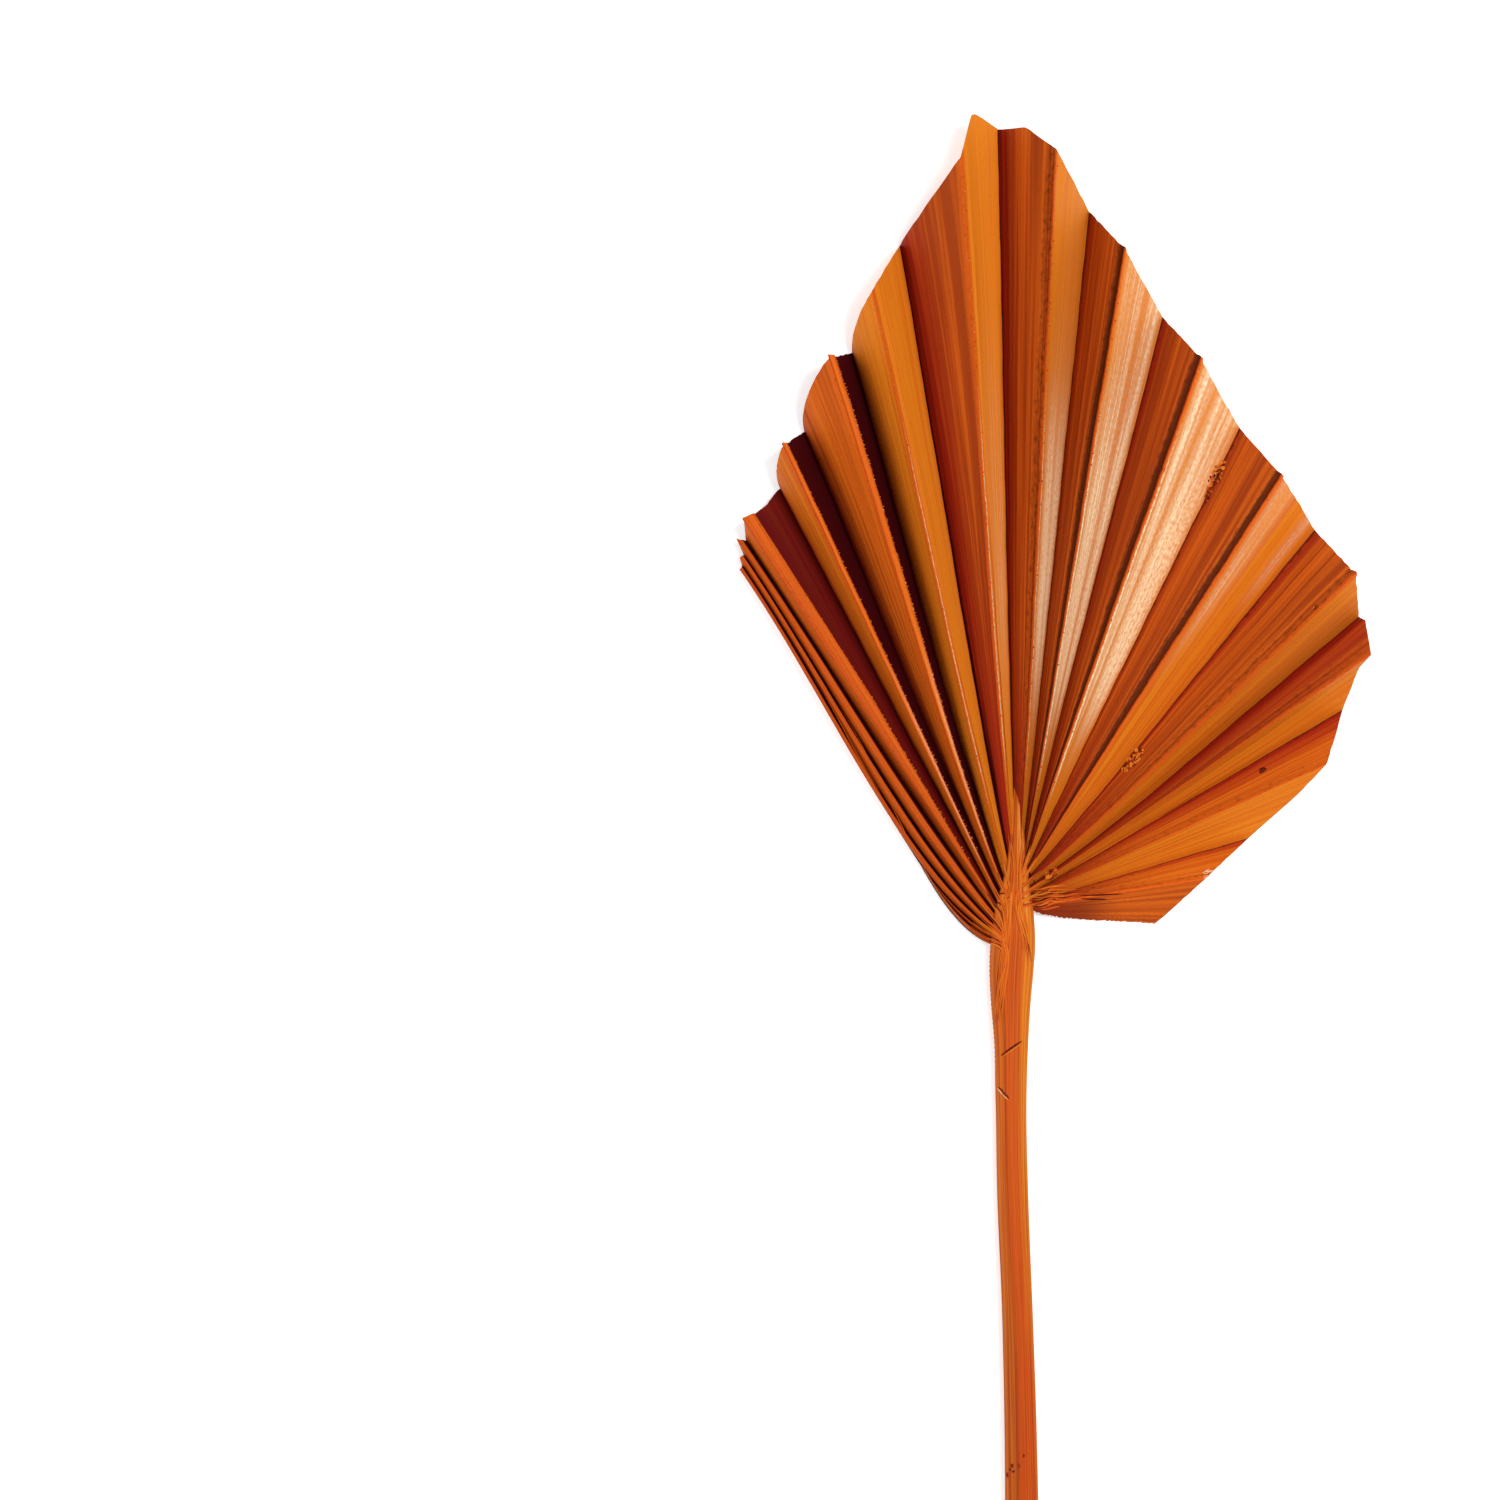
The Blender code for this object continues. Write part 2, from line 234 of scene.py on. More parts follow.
# Painted shade, with its crimson
PRESSED_SHADE = 0.75
WING_RED = 0.6
WING_RED_RUN = (0, 0.022)
LAST_SHADE = 0.55
LAST_SHADE_FACE = (0, 0.4)
LAST_SHADE_FROM = (0, 0.004)
LAST_SHADE_TO = (0.012, 0.012)
HUB_RED = 0.85
HUB_SHADE = 0.55
HUB_SHADE_RUN = (0.004, 0.03)
HUB_SHADE_SLOPE = 1.6
SLOT_RUN = (0.02, 0.03)
SLOT_FACE = (0.45, -0.25)
THINNEST_GUTTER = 0.0002
# Painted highlights
LIP_SHINE = 0.35
LIP_SHINE_FROM = (0.006, 0.008)
LIP_SHINE_TO = (0.035, 0.03)
SHEEN = 0.6
SHEEN_NEAR = (0.05, 0.4)
SHEEN_FAR = (1, -0.12)
SHEEN_FROM = (0.03, 0.025)
SHEEN_TO = (0.08, 0.035)
RIB_SHINE_FROM = (0.015, 0.015)
RIB_SHINE_TO = (0.085, 0.03)

# Stalk sections: distance along the leaf, left edge, right edge and height
CUT_LENGTH = 0.254
STALK_SECTIONS = [
    (-CUT_LENGTH, -0.0012, 0.0072, 0.0066),
    (-0.2200, -0.0016, 0.0067, 0.0064),
    (-0.1800, -0.0020, 0.0061, 0.0062),
    (-0.1415, -0.0023, 0.0055, 0.0060),
    (-0.1208, -0.0025, 0.0050, 0.0059),
    (-0.0955, -0.0031, 0.0041, 0.0058),
    (-0.0720, -0.0041, 0.0032, 0.0057),
    (-0.0495, -0.0045, 0.0028, 0.0057),
    (-0.0360, -0.0049, 0.0032, 0.0058),
    (-0.0265, -0.0057, 0.0038, 0.0060),
    (-0.0200, -0.0060, 0.0044, 0.0062),
    (-0.0140, -0.0058, 0.0048, 0.0063),
    (-0.0085, -0.0051, 0.0046, 0.0063),
    (-0.0040, -0.0043, 0.0041, 0.0061),
    (0.0005, -0.0030, 0.0034, 0.0056),
    (0.0050, -0.0019, 0.0029, 0.0051),
    (0.0095, -0.0014, 0.0025, 0.0047),
    (0.0140, -0.0010, 0.0021, 0.0042),
    (0.0190, -0.0006, 0.0018, 0.0034),
    (0.0240, -0.0001, 0.0014, 0.0012),
]

STALK_PROFILE = [
    (-0.36, 0.00),
    (0.36, 0.00),
    (0.76, 0.13),
    (0.96, 0.42),
    (1.00, 0.70),
    (0.92, 0.88),
    (0.66, 0.96),
    (0.30, 1.00),
    (-0.12, 0.98),
    (-0.46, 0.93),
    (-0.58, 0.84),
    (-0.72, 0.90),
    (-0.92, 0.84),
    (-1.00, 0.66),
    (-0.96, 0.40),
    (-0.76, 0.13),
]
STALK_SIDES = 96
STALK_ROWS_BELOW = 110
STALK_ROWS_ABOVE = 200
CLOSE_ROWS_FROM = -0.05
STALK_SHARP_ANGLE = 50
SLIMMER = 0.994
LOWER = 0.988
MARGIN_TOOTH = 0.0011
MARGIN_TOOTH_DEPTH = 0.00014
TEETH_FROM = (-0.046, 0.01)
TEETH_TO = (-0.010, -0.005)
MARGIN_SIDE = (-0.8, -0.2)

# Lengthwise ribs of the stalk, on its upper side: how close they are across it, and how high
COARSE_RIBS = (17, 0.00008)
FINE_RIBS = (41, 0.00003)
RIB_SWAY = 0.4
SWAY_RATE = 40
FINE_TURN_RATE = 15
UPPER_FROM = 0.3
UPPER_FADE = 0.4

# Fades between the stalk's colour bands: to those of its end, and to those of the tongue
END_BANDS = (-0.06, -0.06)
TONGUE_BANDS = (-0.014, 0.014)

# Strands at the hub: how far up a crest they start, and by the crest's bearing, where they end in the stalk
STRAND_REACH = 0.008
STRANDS_PER_CREST = 4
STRAND_WIDTH = 0.00052
STRAND_RISE = 0.00032
STRAND_SPREAD = 0.0005
DARK_STRANDS = 0.3
STRAND_END_X = [(-45, -0.0040), (-37, -0.0032), (-20, -0.0022), (-13, -0.0016), (-4, -0.0008), (3, 0.0010),
                (20, 0.0018), (57, 0.0027), (88, 0.0034)]
STRAND_END_Y = [(-45, -0.0300), (-37, -0.0260), (-20, -0.0190), (-13, -0.0150), (-4, -0.0080), (3, -0.0060),
                (20, -0.0090), (57, -0.0130), (88, -0.0170)]
STRAND_END_SPREAD = 0.003
STRAND_NEAR = 0.3
STRAND_FAR = 0.45
STRAND_STEPS = 26
RIDGE_TURNS = 7
RIDGE_TIP = 0.03
RIDGE_SKIRT = 0.0005
WAVY_STEPS = 36

# Wrinkles beside the hub: start, end, swing from side to side, waves and tone
Wrinkle = namedtuple("Wrinkle", "start end swing waves tone")
WRINKLES = [
    Wrinkle((0.0040, -0.0012), (0.0118, -0.0001), 0.00018, 0.9, 0.52),
    Wrinkle((0.0040, -0.0017), (0.0142, -0.0010), 0.00025, 1.2, 0.42),
    Wrinkle((0.0041, -0.0023), (0.0125, -0.0014), 0.00030, 1.3, 0.58),
    Wrinkle((0.0042, -0.0029), (0.0148, -0.0020), 0.00030, 1.5, 0.40),
    Wrinkle((0.0043, -0.0035), (0.0120, -0.0024), 0.00035, 1.2, 0.55),
    Wrinkle((0.0045, -0.0041), (0.0138, -0.0028), 0.00035, 1.4, 0.38),
    Wrinkle((0.0048, -0.0047), (0.0112, -0.0036), 0.00030, 1.1, 0.50),
    Wrinkle((0.0052, -0.0053), (0.0124, -0.0036), 0.00025, 1.0, 0.36),
    Wrinkle((0.0060, -0.0057), (0.0104, -0.0050), 0.00015, 0.6, 0.33),
]
# Dark slits and creases by the hub: near-flat strips painted dark as the shade in them
SLITS = [
    Wrinkle((0.0150, -0.0024), (0.0248, -0.0021), 0.00010, 0.5, 0.0),
    Wrinkle((0.0152, -0.0031), (0.0212, -0.0034), 0.00010, 0.5, 0.0),
    Wrinkle((0.0045, -0.0020), (0.0105, -0.0012), 0.00030, 1.3, 0.1),
    Wrinkle((0.0052, -0.0027), (0.0140, -0.0016), 0.00035, 1.4, 0.1),
    Wrinkle((0.0046, -0.0037), (0.0100, -0.0030), 0.00030, 1.2, 0.05),
    Wrinkle((0.0070, -0.0040), (0.0130, -0.0026), 0.00030, 1.2, 0.1),
    Wrinkle((0.0045, -0.0050), (0.0088, -0.0047), 0.00020, 0.7, 0.05),
    Wrinkle((-0.0040, -0.0018), (-0.0006, -0.0030), 0.00040, 1.6, 0.05),
    Wrinkle((-0.0046, -0.0036), (-0.0030, -0.0050), 0.00030, 1.0, 0.05),
    Wrinkle((0.0028, 0.0040), (0.0046, 0.0006), 0.00010, 0.5, 0.05),
]

# Cuts in the stalk: a dark slit with a pale rim beside it; the upper cut's rim is pale as a painted
# highlight
STALK_CUTS = [
    Wrinkle((-0.0032, -0.0393), (0.0016, -0.0359), 0.0, 0.0, 0.1),
    Wrinkle((-0.0038, -0.0465), (-0.0013, -0.0492), 0.0, 0.0, 0.1),
]
CUT_WIDTH = 0.00062
CUT_RISE = 0.00006
RIM_WIDTH = 0.00032
RIM_RISE = 0.00010
RIM_OFFSET = [0.00038, 0.00040]
RIM_TONE = [0.62, 0.85]
WRINKLE_SIZE = (0.0006, 0.00028)
SLIT_SIZE = (0.00034, 0.0003)

# Scars of the stalk: place and size
STALK_SCARS = [(0.0019, -0.1314, 0.0008), (0.0011, -0.1337, 0.0007), (-0.0004, -0.1337, 0.0009),
               (-0.0001, -0.1350, 0.0005), (-0.0015, -0.1358, 0.0006), (-0.0012, -0.1345, 0.0005)]
SCAR_SINK = 0.42
SCAR_TONE = 0.14
# Rough patches on the blade: middle, half length, half width, bearing of the length, crumbs and tone
Patch = namedtuple("Patch", "middle length width bearing crumbs tone")
PATCHES = [
    Patch((0.0466, 0.0948), 0.0032, 0.0014, 28, 64, 0.62),
    Patch((0.0446, 0.0908), 0.0030, 0.0009, 12, 34, 0.30),
    Patch((0.0273, 0.0288), 0.0034, 0.0012, 40, 60, 0.58),
    Patch((0.0085, 0.0029), 0.0018, 0.0009, 62, 60, 0.48),
    Patch((0.0568, 0.0262), 0.0006, 0.0004, 60, 4, 0.15),
    Patch((0.0690, 0.0635), 0.0004, 0.0004, 50, 3, 0.66),
]
CRUMB_SIZE = 0.00052
CRUMB_SINK = 0.25
CRUMB_FLATNESS = 0.6
DARK_CRUMBS = 0.4
DARK_CRUMB_TONE = 0.12
TONE_SPREAD = 0.12
GRAIN_PLACES = 900
KNOB = (0.0035, -0.0034)
KNOB_SIZE = 0.0006
KNOB_SINK = 0.0001
KNOB_TONE = 0.22
EDGE_INSET = 0.0001
EDGE_FROM = 0.012
TOOTH_SPACING = 0.0007
TOOTH_SIZE = 0.00045
TOOTH_LIFT = 0.25
TOOTH_HALF_LENGTH = 0.5
TOOTH_ROOT = 0.0002
BEAD_SPACING = 0.0024
BEAD_SIZE = 0.00016
DARK_BEADS = 0.4
DARK_BEAD_TONE = 0.15
BRIGHT_BEAD_TONE = 0.75
FRAY = (0.0436, 0.0022)
FRAY_SPREAD = (0.0006, 0.0012)
HAIR_COUNT = 9
HAIR_LENGTH = 0.0021
HAIR_SIZE = (0.00016, 0.00012)
HAIR_SAG = 0.0002
HAIR_SKIRT = 0.0001
HAIR_TONE = 0.9
HAIR_STEPS = 12


# Shapes

def direction(bearing):
    """Unit vector of a bearing, seen from above."""
    angle = math.radians(bearing)
    return np.array([math.sin(angle), math.cos(angle)])


def smooth_rise(value, start=0, length=1):
    """Rise from 0 to 1 with level ends, over a length from a start."""
    share = np.clip((value - start) / length, 0, 1)
    return share * share * (3 - 2 * share)


def smooth_fall(value, start, length):
    """Fall from 1 to 0 with level ends, over a length from a start."""
    return 1 - smooth_rise(value, start, length)


def band(value, middle, width):
    """Strength of a soft band round a middle."""
    return np.exp(-((value - middle) / width) ** 2)


def among(crest, group):
    """Whether a crest lies between the two bearings of a group."""
    return group[0] < crest.bearing < group[1]


def by_bearing(table, bearing):
    """Value for a bearing, from a short table."""
    return float(np.interp(bearing, [row[0] for row in table], [row[1] for row in table]))


def curve(start, near, far, end, shares):
    """Points of a curve with two handles."""
    t = shares[:, None]
    return (1 - t) ** 3 * start + 3 * (1 - t) ** 2 * t * near + 3 * (1 - t) * t ** 2 * far + t ** 3 * end


def fold_course(fold):
    """Points of a fold from above, which leaves its root along its own bearing."""
    tip = fold.reach * direction(fold.bearing)
    root = np.array(fold.root) - direction(fold.leave) * ROOT_TUCK
    handle = root + direction(fold.leave) * ROOT_HANDLE * np.linalg.norm(tip - root)
    return curve(root, handle, tip + (root - tip) / 3, tip, np.linspace(0, 1, ROWS) ** ROW_CROWDING)


def crests(group):
    """Each crest of a group, with its number among the folds."""
    return [(index, fold) for index, fold in enumerate(FOLDS) if fold.kind == "crest" and among(fold, group)]


def distance_to_course(points, course):
    """Distance from each point to another fold, which is carried on straight past its end."""
    beyond = course[-1] + (course[-1] - course[-2]) * CARRIED_ON
    steps = np.vstack([course[1:], beyond]) - course
    nearest = np.full(len(points), np.inf)
    for start, step in zip(course, steps):
        along = np.clip((points - start) @ step / (step @ step), 0, 1)
        nearest = np.minimum(nearest, np.linalg.norm(points - start - along[:, None] * step, axis=1))
    return nearest


def run_along(course):
    """Length of a fold from its root to each of its points."""
    steps = np.linalg.norm(np.diff(course, axis=0), axis=1)
    return np.concatenate([[0], np.cumsum(steps)])


def pleat_depth(course, neighbour):
    """Depth of a pleat, from the width that it has when it is spread flat, and the gap of its folds."""
    spread = ROOT_SLACK + SLACK_LIMIT * np.tanh(SLACK_PER_LENGTH * run_along(course) / SLACK_LIMIT)
    gap = distance_to_course(course, neighbour)
    depth = np.sqrt(np.maximum(spread ** 2 - gap ** 2, (SHALLOWEST * spread) ** 2))
    return np.minimum(depth, STEEPEST * gap), gap


def fold_heights(courses):
    """Height of the top face and the upright thickness of the blade along every fold."""
    depths, drops = [], []
    for index, course in enumerate(courses):
        neighbours = courses[max(index - 1, 0):index] + courses[index + 1:index + 2]
        sides = [pleat_depth(course, neighbour) for neighbour in neighbours]
        slopes = [depth / gap for depth, gap in sides]
        depths.append(np.mean([depth for depth, gap in sides], axis=0))
        drops.append(BLADE_THICKNESS * np.sqrt(1 + np.max(slopes, axis=0) ** 2))
    heights = []
    for index, fold in enumerate(FOLDS):
        crest = fold.kind == "crest"
        level = drops[index]
        if crest:
            level = (drops[index - 1] + drops[index + 1]) / 2 + depths[index]
        away = smooth_rise(run_along(courses[index]), 0, HUB_BLEND)
        at_hub = HUB_LEVEL + depths[index] * (0.5 if crest else -0.5)
        heights.append(np.maximum(at_hub * (1 - away) + level * away, drops[index]))
    return heights, drops


def waver(run, seed, size):
    """Slow, small wander along a length."""
    draw = np.random.default_rng(seed)
    total = np.zeros(len(run))
    for length in WAVE_LENGTHS:
        total += np.sin(run / length * 2 * math.pi + draw.uniform(0, WAVE_TURN)) * draw.uniform(0.4, 1)
    return total * size * smooth_rise(run, 0, WAVER_GROWTH)


def let_wander(courses):
    """Let every fold wander a little to its sides, and tear the edge along the last one."""
    for index, course in enumerate(courses):
        run = run_along(course)
        side = np.array([course[-1][1] - course[0][1], course[0][0] - course[-1][0]])
        side = side / np.linalg.norm(side)
        gap = distance_to_course(course, courses[index - 1 if index else 1])
        spare = np.clip(gap / SPARE_GAP, 0.1, 1)
        fixed = smooth_rise(run[-1] - run, 0, FIXED_END)
        course += (waver(run, 40 + index, FOLD_WAVER) * spare * fixed)[:, None] * side
        if index == len(courses) - 1:
            torn = np.random.default_rng(5).uniform(-1, 1, ROWS)
            course += (torn * TORN_WAVER * smooth_rise(run, 0, TORN_GROWTH))[:, None] * side


# Across one face of a pleat the marks are distances from its crest. Each has the share of the face's
# height that it has fallen, a relief over the plain face, and paint: how much rib and how much deep
# shade.
Mark = namedtuple("Mark", "distance fall relief rib shade")


def rib_rise(width):
    """Rise of a rib, which is less beside a narrow face."""
    return RIB_RISE * np.clip(width / FULL_RIB_FROM, 0.15, 1)


def open_right_marks(width):
    """Right face that lies open: a raised rib on the crest."""
    rib = np.minimum(RIB_WIDTH, RIB_LIMIT * width)
    rise = rib_rise(width)
    marks = [Mark(rib * 0, 0, rise, 1, 0)]
    for share, lift, paint in ((0.4, 1, 1), (0.65, 0.9, 0.5), (0.9, 0.5, 0), (1.15, 0, 0)):
        marks.append(Mark(rib * share, share * rib / width, rise * lift, paint, 0))
    return marks


def brim_marks(width, brim):
    """Right face under a brim: folded flat, then a sheer drop into a slot painted dark as shade."""
    brim = np.minimum(brim, (BRIM_LIMIT if np.max(width) > WIDE_FROM else TIGHT_BRIM_LIMIT) * width)
    edge = np.minimum(BRIM_EDGE, 0.1 * width)
    rise = rib_rise(width)
    return [
        Mark(brim * 0, 0, 0, 0.5, 0.4),
        Mark(brim * 0.12, 0, rise * 0.3, 0.9, 0.25),
        Mark(brim * 0.3, 0, rise, 0.35, 0),
        Mark(brim * 0.85, 0.01, rise, BRIM_LIP_PAINT, 0),
        Mark(brim, 0.03, 0, 0.8, 0),
        Mark(brim + 0.5 * edge, 0.3, 0, 0.3, 0.6),
        Mark(brim + edge, 0.5, 0, 0, 1),
    ]


def left_marks(width, openness):
    """Left face: a groove runs under the rib, deep where the leaf lies open, with the rib's shadow painted
    in.
    """
    groove = np.minimum(GROOVE_WIDTH, RIB_LIMIT * width)
    deep = GROOVE_DEPTH * np.clip(width / WIDE_FROM, 0.1, 1) * openness
    rise = rib_rise(width)
    return [
        Mark(groove * 0, 0, rise, 1, 0),
        Mark(groove * 0.1, 0.1 * groove / width, rise * 0.5, 0.8, 0.2 * openness),
        Mark(groove * 0.22, 0.22 * groove / width, -deep, 0, openness),
        Mark(groove * 0.7, 0.7 * groove / width, -deep * 0.8, 0, 0.9 * openness),
        Mark(groove * 1.1, 1.1 * groove / width, 0, 0, 0),
    ]


def face_marks(crest, valley, crest_first, width):
    """All marks across a face, from its crest to its valley."""
    if not crest_first:
        marks = left_marks(width, by_bearing(GROOVES, crest.bearing))
    elif crest.brim:
        marks = brim_marks(width, crest.brim)
    else:
        marks = open_right_marks(width)
    last = marks[-1]
    wide = np.max(width) > WIDE_FROM
    more = WIDE_COLUMNS if wide else TIGHT_COLUMNS
    shares = [step / more for step in range(1, more + 1)]
    full_fall = LIP_FALL if crest_first and valley.gutter else 1.0
    for step, share in enumerate(shares):
        relief = VEIN_RISE * (1 if step % 2 else -1) if wide and step < more - 1 else 0
        distance = last.distance * (1 - share) + width * share
        marks.append(Mark(distance, (last.fall * (1 - share) + share) * full_fall, relief, 0, last.shade))
    if valley.gutter:
        near = np.minimum(BRIM_EDGE if crest_first else valley.gutter, 0.2 * width)
        end = marks.pop()
        marks.append(Mark(width - near, full_fall if crest_first else 1 - near / width, 0, 0, 0))
        marks.append(Mark(width - near * 0.4, (full_fall + 1) / 2, 0, 0, 0))
        marks.append(Mark(end.distance, 1, 0, 0, end.shade))
    return marks


def sheen_gap(crest, share):
    """Strength of the orange line that runs along a waxy face."""
    return SHEEN_GAP_STRENGTH * band(share, by_bearing(SHEEN_GAP_LINES, crest.bearing), SHEEN_GAP_WIDTH)


def right_face_paint(crest, mark, share, run):
    """Painted crimson shade, shade and sheen of one column of a right face."""
    crimson_shade = shade = mark.shade * np.ones(ROWS)
    if among(crest, PRESSED):
        shade = shade * PRESSED_SHADE
    # Painted sheen: pale paint for the light reflected off the faces that turn to it
    along = SHEEN_PAINT_RUN if crest.bearing < SHEENED_CRESTS[1] else LATE_SHEEN_PAINT_RUN
    painted_sheen = by_bearing(SHEEN_PAINT, crest.bearing) * smooth_rise(run, *along)
    painted_sheen = painted_sheen * smooth_rise(mark.distance, 0, RIB_WIDTH) * smooth_fall(share, *SHEEN_PAINT_END)
    if among(crest, BANDED):
        far_band = FAR_BAND_STRENGTH * band(share, *FAR_BAND) * smooth_rise(run, *FAR_BAND_RUN)
        painted_sheen = painted_sheen * (band(share, *NEAR_BAND) + far_band)
    if crest.bearing < SHEENED_CRESTS[0]:
        far_off = smooth_rise(run, *DIM_SHEEN_PAINT_RUN)
        painted_sheen = painted_sheen * smooth_rise(share, *DIM_SHEEN_PAINT_FACE) * (1 - DIM_SHEEN_PAINT_LOSS * far_off)
    if among(crest, FIRST_SHEENED_CRESTS):
        painted_sheen = painted_sheen * (1 - TIP_LOSS * smooth_rise(run, *TIP_RUN) * smooth_rise(share, *TIP_FACE))
    if among(crest, SHEENED_CRESTS):
        painted_sheen = np.minimum(painted_sheen, 1) * (1 - sheen_gap(crest, share)) * smooth_rise(share, *SHEEN_PAINT_FACE)
    if among(crest, WING):
        crimson_shade = WING_RED * smooth_fall(run, *WING_RED_RUN)
    if among(crest, LAST):
        shade = LAST_SHADE * smooth_rise(share, *LAST_SHADE_FACE) * smooth_rise(run, *LAST_SHADE_FROM)
        shade = shade * smooth_fall(run, *LAST_SHADE_TO)
    return crimson_shade, shade, painted_sheen


def left_face_paint(crest, valley, mark, width, run):
    """Painted crimson shade, shade and sheen of one column of a left face, which gets no sheen."""
    shade = mark.shade * np.ones(ROWS)
    up_face = 1 - np.clip(mark.distance / width, 0, 1)
    # Painted shade: crimson from the valley up and near the hub, and dark shade in slots and gutters
    reach = by_bearing(CRIMSON_SHARE, crest.bearing)
    crimson_shade = smooth_rise((reach - up_face) / reach)
    if among(crest, RED_AT_HUB):
        crimson_shade = np.maximum(crimson_shade, HUB_RED * smooth_fall(run, 0, by_bearing(HUB_CRIMSON, crest.bearing)))
    if among(crest, RIGHT_HALF):
        low = smooth_rise(HUB_SHADE_SLOPE - HUB_SHADE_SLOPE * up_face)
        shade = np.maximum(shade, HUB_SHADE * smooth_fall(run, *HUB_SHADE_RUN) * low)
    if among(crest, LEFT_HALF):
        shade = np.maximum(shade, smooth_fall(run, *SLOT_RUN) * smooth_rise(up_face, *SLOT_FACE))
    gutter = max(valley.gutter, THINNEST_GUTTER)
    shade = np.maximum(shade, smooth_rise(2 - 2 * (width - mark.distance) / gutter))
    return crimson_shade, shade, np.zeros(ROWS)


def right_face_shine(crest, mark, share, run):
    """Painted highlight: on a brim's lip, across a face turned to the light, or close beside a middle rib.
    """
    far = np.max(mark.distance)
    sheened_or_beyond = crest.bearing > SHEENED_CRESTS[0]
    if crest.brim and mark.rib == BRIM_LIP_PAINT and not among(crest, PRESSED):
        return LIP_SHINE * smooth_rise(run, *LIP_SHINE_FROM) * smooth_fall(run, *LIP_SHINE_TO)
    if among(crest, BROAD_SHEEN_CRESTS) and far > 1.2 * RIB_WIDTH:
        strength = (SHEEN - SHEEN * sheen_gap(crest, share)) * smooth_rise(share, *SHEEN_NEAR)
        strength = strength * smooth_rise(share, *SHEEN_FAR)
        return strength * smooth_rise(run, *SHEEN_FROM) * smooth_fall(run, *SHEEN_TO)
    if among(crest, MIDDLE) and 0.6 * RIB_WIDTH < far < (1.0 if sheened_or_beyond else 0.7) * RIB_WIDTH:
        strength = 1 if sheened_or_beyond else 0.85
        return strength * smooth_rise(run, *RIB_SHINE_FROM) * smooth_fall(run, *RIB_SHINE_TO)
    return np.zeros(ROWS)


def column_paint(crest, valley, crest_first, mark, width, run):
    """Masks: warmth, painted crimson shade, shade and sheen, then rib, painted highlight and raggedness."""
    ones = np.ones(ROWS)
    # The two warmth tables differ by painted light and shade: a face turned to the light is painted warmer
    warmth = by_bearing(RIGHT_FACE_WARMTH if crest_first else LEFT_FACE_WARMTH, crest.bearing) * ones
    if crest_first:
        share = mark.distance / width
        masks = right_face_paint(crest, mark, share, run)
        shine = right_face_shine(crest, mark, share, run)
    else:
        masks = left_face_paint(crest, valley, mark, width, run)
        shine = 0 * ones
    ragged = float(among(crest, RIGHT_HALF) and not crest_first)
    paint = np.column_stack((warmth,) + masks)
    return paint, np.column_stack([mark.rib * ones, shine, ragged * ones, ones])


def end_reach(crest, crest_first, mark):
    """How far a column's trimmed end stands out: an ear on a wide brim, or a point on an open crest."""
    if crest_first and among(crest, WIDE_BRIMS) and mark.fall < EAR_FALL_LIMIT:
        return EAR * (1 - EAR_SLOPE * mark.distance[-1] / crest.brim)
    if among(crest, ROLLED) and mark.distance[-1] < ROLLED_WIDTH:
        return ROLLED_END
    return 0.0


def facet_middle(fold, left, right):
    """Line halfway across a facet, which ends at the corner of the trimmed edge."""
    middle = (left + right) / 2
    if fold.corner is None:
        return middle
    bearing, reach = fold.corner
    growth = np.linspace(0, 1, ROWS)[:, None] ** CORNER_GROWTH
    return middle + growth * (reach * direction(bearing) - middle[-1])


def facet_plan(fold, left, middle, right, share):
    """Column from above, at a share of the way across a facet."""
    across = share[:, None]
    if fold.rounded:
        control = 2 * middle - (left + right) / 2
        return (1 - across) ** 2 * left + 2 * across * (1 - across) * control + across ** 2 * right
    first_half = left + (middle - left) * 2 * across
    second_half = middle + (right - middle) * (2 * across - 1)
    return np.where(across < 0.5, first_half, second_half)


def blade_columns():
    """Columns of points across the whole fan, each with its height, upright thickness, masks and place."""
    courses = [fold_course(fold) for fold in FOLDS]
    heights, drops = fold_heights(courses)
    let_wander(courses)
    columns = []
    for index in range(len(FOLDS) - 1):
        fold, after = FOLDS[index], FOLDS[index + 1]
        left, right = courses[index], courses[index + 1]
        width = np.linalg.norm(right - left, axis=1)
        crest_first = fold.kind == "crest"
        crest, valley = (fold, after) if crest_first else (after, fold)
        high, low = heights[index:index + 2] if crest_first else heights[index:index + 2][::-1]
        middle = facet_middle(fold, left, right)
        away = smooth_rise(run_along(middle), 0, HUB_BLEND)
        marks = face_marks(crest, valley, crest_first, width)
        for mark in marks if crest_first else marks[::-1]:
            from_crest = np.clip(mark.distance / width, 0, 1)
            share = from_crest if crest_first else 1 - from_crest
            height = high * (1 - mark.fall) + low * mark.fall
            height = height + BELLY * width * away * 4 * share * (1 - share)
            height = np.maximum(height + mark.relief, drops[index] * LEAST_HEIGHT)
            drop = drops[index] * (1 - share) + drops[index + 1] * share
            plan = facet_plan(fold, left, middle, right, share)
            run = run_along(plan)
            paint, rib = column_paint(crest, valley, crest_first, mark, width, run)
            plan[-1] += direction(crest.bearing) * end_reach(crest, crest_first, mark)
            place = np.column_stack([index + share, run * CENTIMETRES])
            columns.append((plan, height, drop, paint, rib, place))
    return columns


def new_object(name, data):
    """Object in the scene."""
    made = bpy.data.objects.new(name, data)
    bpy.context.scene.collection.objects.link(made)
    return made


